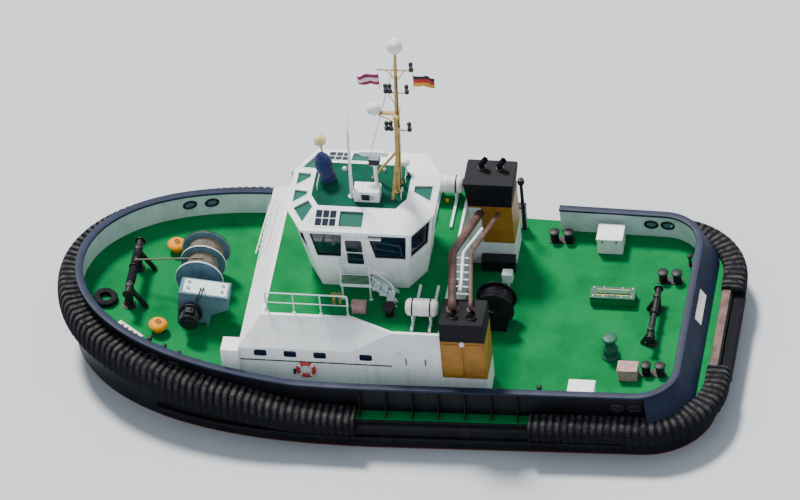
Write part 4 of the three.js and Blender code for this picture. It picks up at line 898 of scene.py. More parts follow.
# %% Hatch, lockers and vent box
dogs = [[x - 0.012, x + 0.012, y - 0.05, y + 0.05, 1.722, 1.745] for x in (-8.1, -7.75, -7.1, -6.75)
        for y in (-1.43, -1.0)]
grip = tube(eased([[x, -1.02, z] for x, z in ((-7.55, 1.72), (-7.55, 1.8), (-7.3, 1.8), (-7.3, 1.72))], 0.03), 0.01)
knuckle = laid(puck(0.022, -0.05, 0.05, 16), "X")
build("hatch_top_paint", slabs([[-8.0, -6.85, -1.38, -1.07, 1.7, 1.7255]]), HATCH, body="hatch_lid")
build("hatch_dogs", together(slabs(dogs), grip), STEEL, body="hatch_lid")
build("hatch_hinges", copies(knuckle, [[x, -1.52, 1.6608] for x in (-8.0, -7.425, -6.85)]), STEEL)
lids = [[-7.47, -6.53, y, y + 0.84, 1.97, 2.035] for y in (3.54, -4.38)]
latches = [[x - 0.025, x + 0.025, y, y + 0.03, 1.86, 2.0] for y in (3.53, -3.56) for x in (-7.25, -6.75)]
build("locker_lids", slabs(lids), WHITE, bevel=0.012)
build("locker_latches", slabs(latches), STEEL, bevel=0.005)
slots = [[*face, z, z + 0.018] for face in ((-8.7, -8.2, 2.288, 2.3), (-8.112, -8.1, 2.4, 2.7))
         for z in np.arange(1.45, 1.72, 0.04)]
build("vent_box_louvres", slabs(slots), CASTING)
build("vent_box_lid", slabs([[-8.8, -8.08, 2.28, 2.82, 1.79, 1.83]]), PINK, bevel=0.01)
print("hatch dogs", len(dogs), "louvres", len(slots))

# %% Capstan and rope reel
around_head = circle(96)
outline = eased([[0.27, 0.3005], [0.275, 0.36], [0.18, 0.47], [0.17, 0.58], [0.18, 0.7], [0.27, 0.8], [0.275, 0.87],
                 [0.2, 0.9]], 0.08, 6)
whelp = 1 + 0.035 * np.tanh(3 * np.cos(8 * around_head)) * np.clip((0.28 - outline[:, :1]) / 0.08, 0, 1)
rings = polar(outline[:, :1] * whelp, around_head, outline[:, 1:])
head = skin(np.concatenate([rings[:1] * [0.01, 0.01, 1], rings, rings[-1:] * [0.01, 0.01, 1]]))
spot = [-7.7, 1.55, DECK_TOP + HAIR]
build("capstan_barrel", moved(head, spot), CAPSTAN, body="capstan_head", replaces=["capstan_head"], angle=50)
base = eased([[0.34, 0.0], [0.34, 0.055], [0.27, 0.1], [0.25, 0.15], [0.25, 0.3]], 0.03)
bed = together(revolve([[0, 0], *base.tolist(), [0, 0.3]], 64), bolts(0.305, 10, 0.018, 0.075))
build("capstan_bed", moved(bed, spot), CAPSTAN, replaces=["capstan_base"])

REEL = [-3.48, 0.15, DECK_TOP + 0.9 + HAIR]
cheeks = together(disc(-0.35, 0.04, 0.72), disc(0.31, 0.04, 0.72), disc(-0.4095, 0.819, 0.11),
                  bolts(0.3, 8, 0.02, 0.35, "Y"))
build("reel_cheeks", moved(cheeks, REEL), CASTING, body="rope_reel", replaces=["rope_reel"], angle=40)
line = laid(wound(0.55, -0.31, 0.31, 0.045), "Y")
build("reel_line", moved(line, REEL), DARK_ROPE, body="rope_reel", angle=60)
crank = tube(eased([[0, 0.41, 0], [0, 0.46, 0], [0.28, 0.46, 0.1], [0.28, 0.6, 0.1]], 0.03), 0.016)
build("reel_crank", moved(crank, REEL), STEEL, body="rope_reel")
print("capstan and reel ready")

# %% [markdown]
# ## Funnels and the pipe guard
#
# Each engine's exhaust leaves through a casing beside the deckhouse: ochre below, black where soot settles. Two
# pipes bend aft at the top, and they are truly open: the skin goes up outside, turns over the lip and back down.

# %% Casing caps with open exhaust pipes and the guard of bent pipes


def open_pipe(path, radius, wall=0.012, depth=0.35):
    """A pipe with a real mouth: rings go up outside, over the lip and down inside again."""
    outer = tube(path, radius, 32)[0].reshape(len(path), 32, 3)
    last = path[-1]
    inner = last + (outer[-1] - last) * (1 - wall / radius)
    inward = normed(path[-2] - last) * depth
    return skin(np.concatenate([outer, inner[None], (inner + inward * 0.5)[None], (inner + inward)[None]]))


FUNNEL_X, FUNNEL_Y = (-3.77, -2.2003), (2.8, 4.1)
PIPE_X, PIPE_Y = (-2.65, -3.3), 3.68
CASING_TOPS = ((0.0, 4.9, 0.22), (0.11, 5.1, 0.42))   # flare, top and height of the pipes: port, starboard
for (side, turn), (flare, top, height) in zip(SIDES, CASING_TOPS):
    rings = []
    for z, grow, corner in ((4.0703, 0, 0.03), (4.16, 0, 0.03), (4.25, 0, 0.03), (top - 0.04, flare, 0.05),
                            (top, flare - 0.03, 0.05)):
        x0, x1 = FUNNEL_X[0] - grow, FUNNEL_X[1] + grow
        flat = eased_loop([[x0, FUNNEL_Y[0]], [x1, FUNNEL_Y[0]], [x1, FUNNEL_Y[1]], [x0, FUNNEL_Y[1]]], corner, 5)
        rings.append(put(flat, 2, z))
    paths = [eased([[x, PIPE_Y, top - 0.06], [x, PIPE_Y, top + height * 0.5],
                    [x - height * 0.4, PIPE_Y, top + height]], 0.14, 8) for x in PIPE_X]
    collars = copies(hoop(0.11, 0.14, -0.02, 0.02, 32), [[x, PIPE_Y, top + 0.03] for x in PIPE_X])
    build(side + "_casing_cap", turn(skin(rings)), SOOT, replaces=[side + "_funnel_cap"], angle=40)
    build(side + "_exhaust_pipes", turn(together(*[open_pipe(path, 0.11) for path in paths])), SOOT, angle=50)
    build(side + "_exhaust_collars", turn(collars), BROWN)
seams = [[-3.77, -2.21, 4.1, 4.108, z - 0.012, z + 0.012] for z in (2.42, 4.0)]
seams += [[x - 0.012, x + 0.012, 4.1, 4.108, 2.42, 4.0] for x in (-3.75, -2.985, -2.23)]
build("casing_seams", both(slabs(seams)), OCHRE)

ARCH = [
    # pipe radius, flange radius, then the bend's places from the port casing's top to the starboard casing's side
    (0.15, 0.23, [[-2.6, 3.3, 4.9003], [-2.6, 3.3, 5.1], [-2.24, 0.65, 5.1], [-2.63, -2.7997, 3.761]]),
    (0.075, 0.14, [[-3.24, 3.3, 4.9003], [-3.24, 3.3, 5.1], [-2.88, 0.69, 5.1], [-3.277, -2.7997, 3.757]]),
]
bends = [tube(eased(points, 0.3, 8), radius, 28) for radius, _, points in ARCH]
flanges = [moved(revolve([[0, 0], [r, 0], [r, 0.025], [r - 0.01, 0.03], [0, 0.03]], 32), points[0])
           for _, r, points in ARCH]
rungs = [tube([[x + 0.36 * (3.3 - y) / 2.65, y, 5.1] for x in (-2.6, -3.24)], 0.038, 12)
         for y in np.arange(2.75, 0.9, -0.36)]
build("guard_pipes", together(*bends, *flanges), BROWN, replaces=["tow_arch"], angle=50)
build("guard_cross_bars", together(*rungs), PALE)
print("guard bars:", len(rungs))

# %% [markdown]
# ## The wheelhouse
#
# Its walls lean outwards, so that the windows reflect the water and not the sky. Each window opening gets a flat
# welded frame outside and a black rubber gasket in the opening. The corners come from the same two eight-sided
# rings as the walls: a corner lies on the line between the two rings' corners.

# %% Rings, window frames and gaskets
FOOT = dict(z=4.1653, aft=-1.3, fore=2.8, half=1.6, cut=0.9)
HEAD = dict(z=7.05, aft=-1.7, fore=3.35, half=2.0, cut=1.1)
EAVE = dict(z=7.14, aft=-1.78, fore=3.43, half=2.1, cut=1.12)
CROWN = dict(z=7.45, aft=-0.8, fore=2.6, half=1.12, cut=0.52)


HOUSE_MIDDLE = (0.8, 0.0)


def octagon(z, aft, fore, half, cut):
    """Eight corners, from the after port one forward along the port side and round."""
    c = 0.6 * cut
    return np.array([[aft, half - cut, z], [aft + c, half, z], [fore - c, half, z], [fore, half - cut, z],
                     [fore, cut - half, z], [fore - c, -half, z], [aft + c, -half, z], [aft, cut - half, z]])


def corners_on(low, high, side, start, end, z0, z1):
    """Four corners on a side between two rings: margins are measured from the side's ends."""
    a, b = octagon(**low), octagon(**high)

    def corner(z, margin, first, second):
        part = (z - low["z"]) / (high["z"] - low["z"])
        p, q = (a[k % 8] + (b[k % 8] - a[k % 8]) * part for k in (first, second))
        return p + normed(q - p) * margin
    return np.array([corner(z0, start, side, side + 1), corner(z0, end, side + 1, side),
                     corner(z1, end, side + 1, side), corner(z1, start, side, side + 1)])


def wall_normal(c):
    """The unit normal of four corners, (c3 - c0) x (c1 - c0), turned to point away from the house's middle."""
    normal = normed(np.cross(c[3] - c[0], c[1] - c[0]))
    return normal * np.sign(normal[:2] @ (c.mean(0)[:2] - HOUSE_MIDDLE))


def rim(c, grow, depth, corner=0.05):
    """The outline of four corners, grown outwards in its plane and moved along the outward normal."""
    along = normed(np.roll(c, -1, 0) - c)
    grown = c + (np.roll(along, 1, 0) - along) * grow + wall_normal(c) * depth
    return eased_loop(grown, corner + max(grow, -0.04), 5)


def ring_between(corners, inner, outer, low, high, corner=0.05):
    """A flat ring round an opening, from one growth to another and from one depth to another."""
    ends = [(inner, low), (inner, high), (outer, high), (outer, low)]
    return skin([rim(corners, grow, depth, corner) for grow, depth in ends + ends[:1]], caps=False)


WINDOWS = [
    # side of the house, margin at its start, margin at its end
    (0, 0.11, 0.11), (1, 0.11, 2.23), (1, 2.38, 0.19), (2, 0.11, 0.11), (3, 0.13, 1.01), (3, 1.01, 0.13),
    (4, 0.11, 0.11), (5, 0.19, 2.38), (5, 2.23, 0.11), (6, 0.11, 0.11), (7, 0.13, 1.01), (7, 1.01, 0.13),
]
SILL_AND_HEAD = (5.72, 6.93)
holes = [corners_on(FOOT, HEAD, *row, *SILL_AND_HEAD) for row in WINDOWS]
roof_paint = octagon(**{**CROWN, "aft": -0.78, "fore": 2.58, "half": 1.1})
build("wheelhouse_roof_paint", skin([roof_paint + [0, 0, z] for z in (-0.02, HAIR)]), ROOF_GREEN)
# The frames in the side walls are thinner, so that a sliding door passes over them.
frames = [ring_between(c, 0.0, 0.045, 0.0, 0.004 if row[0] in (1, 5) else 0.012) for row, c in zip(WINDOWS, holes)]
build("wheelhouse_window_frames", together(*map(outward, frames)), WHITE, angle=30)
gaskets = [ring_between(c, -0.03, 0.002, -0.069, -0.03) for c in holes]
build("wheelhouse_gaskets", together(*map(outward, gaskets)), GASKET)
print("wheelhouse windows:", len(holes))

# %% Wipers, roof lights and door panes
arms, blades = [], []
for index in (3, 4, 5, 6, 2):
    c, normal = holes[index], wall_normal(holes[index])
    top, mid = (c[2] + c[3]) / 2, c.mean(0)
    side, up = normed(c[1] - c[0]), normed(top - mid)
    tip = mid + side * 0.14
    arms.append(tube([top + side * 0.02 + normal * 0.025, tip - normal * 0.01], 0.012, 8))
    blades.append(tube([tip - normal * 0.03 - up * 0.28, tip - normal * 0.03 + up * 0.28], 0.012, 8))
build("window_wipers", together(*arms, *blades), GASKET)

LIGHT_Z = (7.21, 7.4)
ROOF_LIGHTS = [(2, 0.16, 0.16), (3, 0.12, 1.01), (3, 1.01, 0.12), (4, 0.16, 0.16), (7, 0.5, 0.5)]
SIDE_LIGHTS = [(1.56, 2.29), (0.62, 1.46)]


def on_side(low, high, x0, x1, z0, z1):
    """Four corners on the port side between two rings."""
    y = [low["half"] + (high["half"] - low["half"]) * (z - low["z"]) / (high["z"] - low["z"]) for z in (z0, z1)]
    return np.array([[x0, y[0], z0], [x1, y[0], z0], [x1, y[1], z1], [x0, y[1], z1]])


lights = [corners_on(EAVE, CROWN, *row, *LIGHT_Z) for row in ROOF_LIGHTS]
sides = [on_side(EAVE, CROWN, x0, x1, *LIGHT_Z) for x0, x1 in SIDE_LIGHTS]
lights += sides + [c * [1, -1, 1] for c in sides]
frames = [outward(ring_between(c, -0.004, 0.04, -0.02, 0.014, 0.03)) for c in lights]
build("roof_light_frames", together(*frames), WHITE, angle=30)
barred, grids = (sides[0], sides[0] * [1, -1, 1]), []
for c in barred:
    across_bar, up_bar = c[1] - c[0], c[3] - c[0]
    grids += [tube([c[0] + across_bar * t, c[3] + across_bar * t], 0.018, 8) for t in (1 / 3, 2 / 3)]
    grids.append(tube([c[0] + up_bar / 2, c[1] + up_bar / 2], 0.018, 8))
build("roof_light_bars", together(*grids), WHITE)
build("roof_light_dark_panes", together(*[outward(sheet_between(c, 0.001, 0.006)) for c in barred]), GLASS)
print("roof lights:", len(lights))

DOOR_OUT, DOOR_GLASS = 0.046, (0.7, 1.22)
panes, gaskets = [], []
for z0, z1 in ((5.46, 5.98), (6.1, 6.66)):
    c = on_side(FOOT, HEAD, *DOOR_GLASS, z0, z1)
    normal = wall_normal(c)
    c = c + normal * DOOR_OUT
    panes.append(outward(skin([rim(c, 0.0, -0.01), rim(c, 0.0, 0.004)])))
    gaskets.append(outward(ring_between(c, -0.004, 0.03, -0.005, 0.012)))
low = on_side(FOOT, HEAD, 1.23, 1.26, 5.7, 6.0) + normal * (DOOR_OUT + 0.03)
grip = tube(eased([low[0] - normal * 0.03, low[0], low[3], low[3] - normal * 0.03], 0.02), 0.012)
build_both([("door_panes", together(*panes), GLASS, None, "door", {}),
            ("door_gaskets", together(*gaskets), GASKET, None, "door", {}),
            ("door_handle", grip, STEEL, None, "door", {})])
print("door panes and handles on both sliding doors")

# %% [markdown]
# ## Platforms, rails, rafts and lifebuoys
#
# Handrails are bent tube, so each is one bar along an eased path and never a row of straight pieces. The platform
# floor is open grating: two sets of thin flat bars that cross.

# %% Platforms and stairs beside the wheelhouse doors
TOP, FLOOR_TOP, GUARD = 4.85, 4.1653, 0.95   # the platform's floor, the boat deck and the handrail over the floor
INNER_X, OUTER_X, POST_Y = 1.46, 0.44, 2.29
hand = [[INNER_X, 1.79, TOP - 0.02], [INNER_X, 1.91, TOP + GUARD], [INNER_X, POST_Y, TOP + GUARD],
        [OUTER_X, POST_Y, TOP + GUARD], [-0.42, 2.56, TOP + 0.3], [-0.42, 2.56, FLOOR_TOP]]
knees = ([[INNER_X, 1.86, TOP + 0.5], [INNER_X, POST_Y, TOP + 0.5], [OUTER_X, POST_Y, TOP + 0.5]],
         [[OUTER_X, POST_Y, TOP + 0.5], [-0.42, 2.56, TOP - 0.15]])
tubes = [tube(eased(hand, 0.12, 7), 0.024, 14)]
tubes += [tube([[x, POST_Y, TOP - 0.02], [x, POST_Y, TOP + GUARD]], 0.022, 14) for x in (OUTER_X, INNER_X)]
tubes += [tube(path, 0.016, 12) for path in knees]
tubes += [tube([[x, 2.27, FLOOR_TOP], [x, 2.27, TOP - 0.03]], 0.032, 16) for x in (0.46, 1.44)]
feet = copies(puck(0.07, 0, 0.012, 20), [[x, y, FLOOR_TOP] for x, y in ((0.46, 2.27), (1.44, 2.27), (-0.42, 2.56))])
edging = slabs([[*plan, TOP - 0.055, TOP + rise] for *plan, rise in (
    (0.4, 1.5, 1.715, 1.735, 0.004), (0.4, 1.5, 2.31, 2.335, 0.06), (0.4, 0.42, 1.72, 2.33, 0.004),
    (1.48, 1.505, 1.72, 2.33, 0.06))])
steps = []
for i in (1, 2, 3):
    x, z, y = 0.4 - 0.25 * i, TOP - 0.165 * i, 0.07 * (i - 1)
    steps += [[x - 0.02, x + 0.23, 1.8 + y, 2.33 + y, z - 0.03, z], [x - 0.02, x, 1.8 + y, 2.33 + y, z - 0.05, z]]
flight = [[0.42, TOP - 0.06], [0.42, TOP - 0.005], [-0.44, 4.33], [-0.5, FLOOR_TOP], [-0.38, FLOOR_TOP]]
cheeks = [prism(flight, 1, (y + 0.02, y)) for y in (1.86, 2.31)]
bars = [[x, x + 0.008, 1.73, 2.32, TOP - 0.03, TOP] for x in np.arange(0.45, 1.46, 0.05)]
bars += [[0.42, 1.48, y, y + 0.008, TOP - 0.028, TOP - 0.004] for y in np.arange(1.76, 2.3, 0.06)]
build_both([("platform_frame", together(*tubes, feet, edging, *cheeks), PALE, "platform", None, dict(angle=40)),
            ("platform_steps", slabs(steps), PALE, None, None, dict(bevel=0.004)),
            ("platform_grating", slabs(bars), DECK, None, None, {})])
print("grating bars:", len(bars), "a side")

# %% Boat deck rails, life rafts and lifebuoys
RAIL_Y, RAIL_HIGH, POSTS = 3.12, 0.9, (4.0, 3.05, 2.1, 1.15)
posts = [tube([[x, RAIL_Y, FLOOR_TOP], [x, RAIL_Y, FLOOR_TOP + RAIL_HIGH]], 0.022, 14) for x in POSTS]
hand = eased([[x, RAIL_Y, FLOOR_TOP + z] for x, z in ((4.025, 0.42), (4.025, RAIL_HIGH), (1.125, RAIL_HIGH),
                                                      (1.125, 0.42))], 0.1, 7)
knee = tube([[4.02, RAIL_Y, FLOOR_TOP + 0.45], [1.13, RAIL_Y, FLOOR_TOP + 0.45]], 0.018, 12)
feet = copies(puck(0.06, 0, 0.012, 20), [[x, RAIL_Y, FLOOR_TOP] for x in POSTS])
rails = together(*posts, tube(hand, 0.025, 14), knee, feet)

RAFT_AXIS, STRAPS = [0, 3.15, 4.76], (-1.81, -1.18)
r, x0, x1 = 0.32, -2.06, -0.93
shell = eased([[0.0, x0], [r - 0.1, x0], [r - 0.01, x0 + 0.1], [r - 0.005, -1.52], [r, -1.515], [r, -1.475],
               [r - 0.005, -1.47], [r - 0.01, x1 - 0.1], [r - 0.1, x1], [0.0, x1]], 0.04, 5)
shell = outward(moved(laid(revolve(shell.tolist(), 56), "X"), RAFT_AXIS))
straps = [moved(laid(hoop(r - 0.02, r + 0.006, x - 0.025, x + 0.025, 56), "X"), RAFT_AXIS) for x in STRAPS]
cradle = [[x - 0.045, x + 0.045, 1.5, 3.78, FLOOR_TOP, FLOOR_TOP + 0.11] for x in STRAPS[::-1]]
cradle += [[x - 0.04, x + 0.04, y0, y1, FLOOR_TOP + 0.1, z] for x in STRAPS[::-1]
           for y0, y1, z in ((2.87, 2.93, 4.66), (3.37, 3.43, 4.66), (2.9, 3.4, 4.45))]
release = moved(revolve([[0, 0], [0.06, 0], [0.06, 0.08], [0.03, 0.1], [0, 0.1]], 24), [-1.5, 2.78, FLOOR_TOP + 0.11])

ring_at = [2.61, 4.1503, 2.44]


def buoy_shape(swell, start, end, steps):
    """A stretch of a lifebuoy's ring: r = 0.285 + 0.07 cos u, depth = 0.05 |sin u|^0.7 with the sine's sign."""
    u = circle(24)
    t = np.linspace(start, end, steps)[:, None]
    r = 0.285 + (0.07 + swell) * np.cos(u)
    depth = (0.05 + swell) * np.sign(np.sin(u)) * np.abs(np.sin(u)) ** 0.7
    rings = np.stack([r * np.cos(t), depth + 0 * t, r * np.sin(t)], -1)
    if end - start < 2 * PI:
        return welded(skin(rings))
    return welded(skin(np.concatenate([rings[:-1], rings[:1]]), caps=False))


buoy = outward(moved(buoy_shape(0.0, 0, 2 * PI, 97), ring_at))
bands = [outward(moved(buoy_shape(0.004, a - 0.16, a + 0.16, 9), ring_at)) for a in (0.79, 2.36, 3.93, 5.5)]
build_both([("rail_tubes", rails, PALE, "rail", None, dict(angle=40)),
            ("raft_canister", shell, RAFT_WHITE, "raft", None, dict(angle=40)),
            ("raft_straps", together(*straps), CASTING, None, None, {}),
            ("raft_cradle", slabs(cradle), PALE, None, None, dict(bevel=0.006)),
            ("raft_release", release, ORANGE, None, None, {}),
            ("buoy_ring", buoy, BUOY, "lifebuoy", None, dict(angle=60)),
            ("buoy_bands", together(*bands), AERIAL, None, None, dict(angle=60)),
            ("buoy_light", slabs([[2.98, 3.06, 4.1, 4.16, 2.2, 2.42]]), CASTING, None, None, dict(bevel=0.01))])
print("rafts and lifebuoys on both sides")

# %% [markdown]
# ## Mast, lamps and aerials
#
# The mast is a ladder of tube with a pole on top, painted yellow. Navigation lamps hang on its yards: a black
# body, a clear lens band and a cap. Aerial domes are glass fibre shells. All of it stands on the roof.

# %% The mast
ROOF = CROWN["z"] + HAIR


def on_roof(points):
    """Points given above the roof's level."""
    return np.asarray(points, float) + [0, 0, ROOF]


def roof_bars(rows):
    """Round bars from rows of points above the roof, radius and sides."""
    return [tube(on_roof(points), radius, sides) for points, radius, sides in rows]


HEAD_Z, LEG_Y, LEG_LEAN = 6.55, 0.22, 0.0486
parts = []
for y in (-LEG_Y, LEG_Y):
    parts += roof_bars([([[-0.43, y, 0], [-0.6, y, 3.5]], 0.066, 16)])
    parts.append(moved(puck(0.11, 0, 0.02, 24), [-0.43, y, ROOF]))
parts += roof_bars([([[-0.43 - z * LEG_LEAN, y, z] for y in (-LEG_Y, LEG_Y)], 0.02, 10)
                    for z in np.arange(0.4, 3.3, 0.4)])
parts += roof_bars([
    # three stays, the pole, then three yards
    ([[0.56, -0.4, 0], [-0.515, 0, 1.75]], 0.05, 14), ([[-0.3, 0.64, 0], [-0.515, LEG_Y, 1.75]], 0.05, 14),
    ([[-0.3, -0.64, 0], [-0.515, -LEG_Y, 1.75]], 0.05, 14),
    ([[-0.6, 0, 3.4], [-0.69, 0, 5.2], [-0.75, 0, HEAD_Z - 0.1]], [0.075, 0.06, 0.05], 20),
    ([[-1.05, 0, 2.7], [-0.15, 0, 2.7]], 0.026, 12), ([[-1.08, 0, 4.45], [-0.24, 0, 4.45]], 0.026, 12),
    ([[-1.33, 0, 5.5], [-0.05, 0, 5.5]], 0.026, 12)])
parts.append(moved(slabs([[-0.69, -0.51, -0.29, 0.29, 3.44, 3.54], [-0.605, 0.25, -0.06, 0.06, 3.45, 3.51],
                          [-0.64, -0.52, -0.23, 0.23, 2.66, 2.74]]), [0, 0, ROOF]))
parts += roof_bars([([[-0.6, 0, 3.9], [-0.35, 0, 4.4]], 0.016, 8), ([[-0.7, 0, 5.0], [-0.4, 0, 5.47]], 0.016, 8),
                    ([[-0.7, 0, 5.0], [-1.0, 0, 5.47]], 0.016, 8), ([[-0.6, 0, 3.0], [0.15, 0, 3.45]], 0.02, 8)])
build("mast_steel", together(*parts), YELLOW, replaces=["mast"], angle=40)

lamp = eased([[0.0, 0.0], [0.075, 0.0], [0.08, 0.02], [0.08, 0.12], [0.06, 0.13], [0.06, 0.27], [0.082, 0.28],
              [0.07, 0.35], [0.0, 0.38]], 0.006, 3).tolist()
LAMPS = on_roof([[x, 0, z] for x, z in (
    (-1.0, 2.7), (-0.2, 2.7), (-0.35, 2.7), (-1.03, 4.45), (-0.29, 4.45), (-0.44, 4.45), (-1.25, 5.5))])
build("navigation_lamps", copies(revolve(lamp, 24), LAMPS), CASTING, angle=50)
lens = revolve([[0.055, 0.128], [0.066, 0.13], [0.066, 0.27], [0.055, 0.272]], 24, closed=True)
build("lamp_lenses", copies(lens, LAMPS), GLASS)


def dome(radius, foot):
    """An aerial's dome: a short cylinder with a groove, and half an ellipse over it."""
    t = np.linspace(0, PI / 2, 10)
    wall = [[0, 0], [0.8, 0], [1, 0.3], [1, 0.52], [0.985, 0.53], [0.985, 0.56], [1, 0.57]]
    profile = np.concatenate([wall, np.stack([np.cos(t), 0.9 + 0.85 * np.sin(t)], -1)]) * radius
    return moved(revolve(profile.tolist(), 40), foot)


domes = [dome(0.27, [-0.75, 0, ROOF + HEAD_Z - 0.123]), dome(0.24, [0.19, 0, ROOF + 3.5]),
         dome(0.15, [-0.56, -0.82, 7.75])]
build("aerial_domes", together(*domes), AERIAL, angle=50)
cable = eased([[-0.52, 0.1, 0.1], [-0.6, 0.12, 2.6], [-0.66, 0.07, 3.4], [-0.72, 0.06, 5.3]], 0.2)
lines = roof_bars([([[-1.29, 0.01, 4.56], [-1.29, 0.01, 5.48]], 0.008, 8),
                   ([[-0.09, 0.01, 4.56], [-0.09, 0.01, 5.48]], 0.008, 8), (cable, 0.014, 8),
                   ([[-0.75, 0, 6.1], [0.85, 1.02, 0.02]], 0.006, 6),
                   ([[-0.75, 0, 6.1], [0.85, -1.02, 0.02]], 0.006, 6)])
build("halyards_and_cables", together(*lines), CASTING)
print("lamps:", len(LAMPS))

# %% Radar, searchlight, whip aerial and roof gear
RADAR, LIGHT = [0.35, 0, ROOF], [2.31, -0.62, ROOF + 1.48]
t = np.linspace(-1, 1, 21)[:, None]
oval = eased_loop([[-0.09, -0.11], [0.09, -0.11], [0.09, 0.11], [-0.09, 0.11]], 0.06, 5)
size = 1 - 0.35 * np.abs(t) ** 8
rings = np.stack([0.5 * t + 0 * oval[:, 0], size * oval[:, 0], 1.56 + size * oval[:, 1]], -1)
neck = revolve([[0, 1.3805], [0.07, 1.3805], [0.075, 1.4], [0.06, 1.47], [0, 1.47]], 32)
scanner = together(outward(skin(rings)), neck)
build("radar_array", moved(scanner, RADAR), AERIAL, body="radar_scanner", replaces=["radar_scanner"], angle=40)
build("radar_gearbox_cover", moved(slabs([[-0.186, 0.186, -0.156, 0.156, 1.1, 1.372]]), RADAR), CASTING, bevel=0.02)

barrel = eased([[0.0, -0.18], [0.12, -0.17], [0.19, -0.06], [0.2, 0.12], [0.2, 0.2], [0.175, 0.2], [0.17, 0.17],
                [0.0, 0.165]], 0.02, 4)
drum_shape = moved(laid(revolve(barrel.tolist(), 48), "X"), LIGHT)
yoke = tube(eased([[0, -0.225, 0.02], [0, -0.225, -0.18], [0, 0, -0.24], [0, 0.225, -0.18], [0, 0.225, 0.02]], 0.08),
            0.018, 12)
stand = together(moved(yoke, LIGHT), tube([[*LIGHT[:2], ROOF], [*LIGHT[:2], ROOF + 1.25]], 0.035, 20),
                 moved(puck(0.08, 0, 0.02, 24), [*LIGHT[:2], ROOF]),
                 moved(laid(puck(0.03, -0.235, 0.235, 16), "Y"), LIGHT))
build("searchlight_barrel", together(outward(drum_shape), stand), CREAM, replaces=["searchlight"], angle=40)
fins = [moved(laid(hoop(0.17, 0.21, x, x + 0.008, 40), "X"), LIGHT) for x in (-0.05, -0.02, 0.01, 0.04)]
build("searchlight_fins", together(*fins), CREAM)
glass = moved(laid(revolve([[0, 0.166], [0.17, 0.166], [0.12, 0.18], [0, 0.186]], 40), "X"), LIGHT)
build("searchlight_glass", outward(glass), GLASS)

whip = roof_bars([([[1.15, 0.56, 0], [1.09, 0.5, 3.0]], [0.065, 0.045], 24),
                  ([[1.092, 0.502, 2.95], [0.94, 0.45, 4.1]], [0.014, 0.006], 10)])
socket = revolve([[0, 0], [0.12, 0], [0.12, 0.025], [0.07, 0.03], [0.07, 0.09], [0, 0.09]], 24)
build("whip_aerial", together(*whip, moved(socket, [1.15, 0.56, ROOF])), AERIAL, replaces=["pole_aerial"], angle=40)
build("roof_locker_lid", slabs([[0.12, 1.04, 0.32, 0.86, ROOF + 0.455, ROOF + 0.482]]), WHITE, bevel=0.01)
build("roof_locker_opening", slabs([[0.47, 0.76, 0.83, 0.853, ROOF + 0.09, ROOF + 0.37]]), GASKET, bevel=0.01)
grab = [tube(eased([[x0, y0, ROOF], [x0, y0, ROOF + 0.22], [x1, y1, ROOF + 0.22], [x1, y1, ROOF]], 0.05), 0.014, 10)
        for x0, y0, x1, y1 in ((-0.6, 0.62, -0.6, 0.2), (-0.62, -0.25, -0.62, -0.62), (2.4, 0.35, 2.4, -0.35))]
horn = revolve([[0, 0], [0.05, 0], [0.05, 0.1], [0.02, 0.12], [0.02, 0.35], [0, 0.35]], 20)
cup = revolve([[0, 0], [0.09, 0], [0.09, 0.06], [0.06, 0.12], [0, 0.13]], 28)
grab += [moved(horn, [0.2, -0.8, ROOF]), moved(cup, [1.6, -0.75, ROOF])]
build("roof_fittings", together(*grab), PALE)
print("roof gear ready")

# %% [markdown]
# ## Canvas and flags
#
# Cloth is thin and never flat. A canvas hood hangs from its crown, gathers where a lashing pulls it in and
# flares at the hem. A flag is held by one edge only: waves grow away from the halyard, and the free end sinks.
# Both are one thin sheet with two faces, worked out from a grid of points.

# %% Cloth, its weave and its sheets


def woven(name, slot, fresh, worn, pitch, relief):
    """Plain weave: two crossed sets of threads raise the surface, h = max(wave along X, wave along Z)."""
    made = weathered(name, slot, fresh, worn, 0.82, 0.5, 0.03, relief)
    tree = made.node_tree
    shader = tree.nodes["Principled BSDF"]
    under = shader.inputs["Normal"].links[0].from_socket
    where = add(tree, "TexCoord").outputs["Object"]
    threads = [add(tree, "TexWave", {"bands_direction": axis}, {"Vector": where, "Scale": 1 / pitch}).outputs["Fac"]
               for axis in ("X", "Z")]
    high = add(tree, "Math", {"operation": "MAXIMUM"}, {0: threads[0], 1: threads[1]})
    bump = add(tree, "Bump", inputs={"Height": high.outputs[0], "Distance": relief, "Strength": 0.5, "Normal": under})
    tree.links.new(bump.outputs[0], shader.inputs["Normal"])
    shader.inputs["Sheen Weight"].default_value = 0.2
    return made


def cloth(grid, thick=0.004, closed=False):
    """A thin sheet with two faces over a grid: p = g + n t / 2 and p = g - n t / 2, n its unit normal."""
    along = np.roll(grid, -1, 0) - np.roll(grid, 1, 0) if closed else np.gradient(grid, axis=0)
    normal = normed(np.cross(along, np.gradient(grid, axis=1)))
    rings = np.concatenate([grid + normal * thick / 2, (grid - normal * thick / 2)[:, ::-1]], axis=1)
    return outward(welded(skin(np.concatenate([rings, rings[:1]]), caps=False)) if closed else skin(rings))


def area_of(grid, closed=False):
    """The area of a grid of points, as the sum of |u x v| over its cells."""
    if closed:
        grid = np.concatenate([grid, grid[:1]])
    u, v = grid[1:, :-1] - grid[:-1, :-1], grid[:-1, 1:] - grid[:-1, :-1]
    return float(np.linalg.norm(np.cross(u, v), axis=2).sum())


CANVAS = woven("blue_waxed_canvas", "canvas_blue", "#152b61", "#0a1839", 0.006, 0.0015)
print("cloth ready")

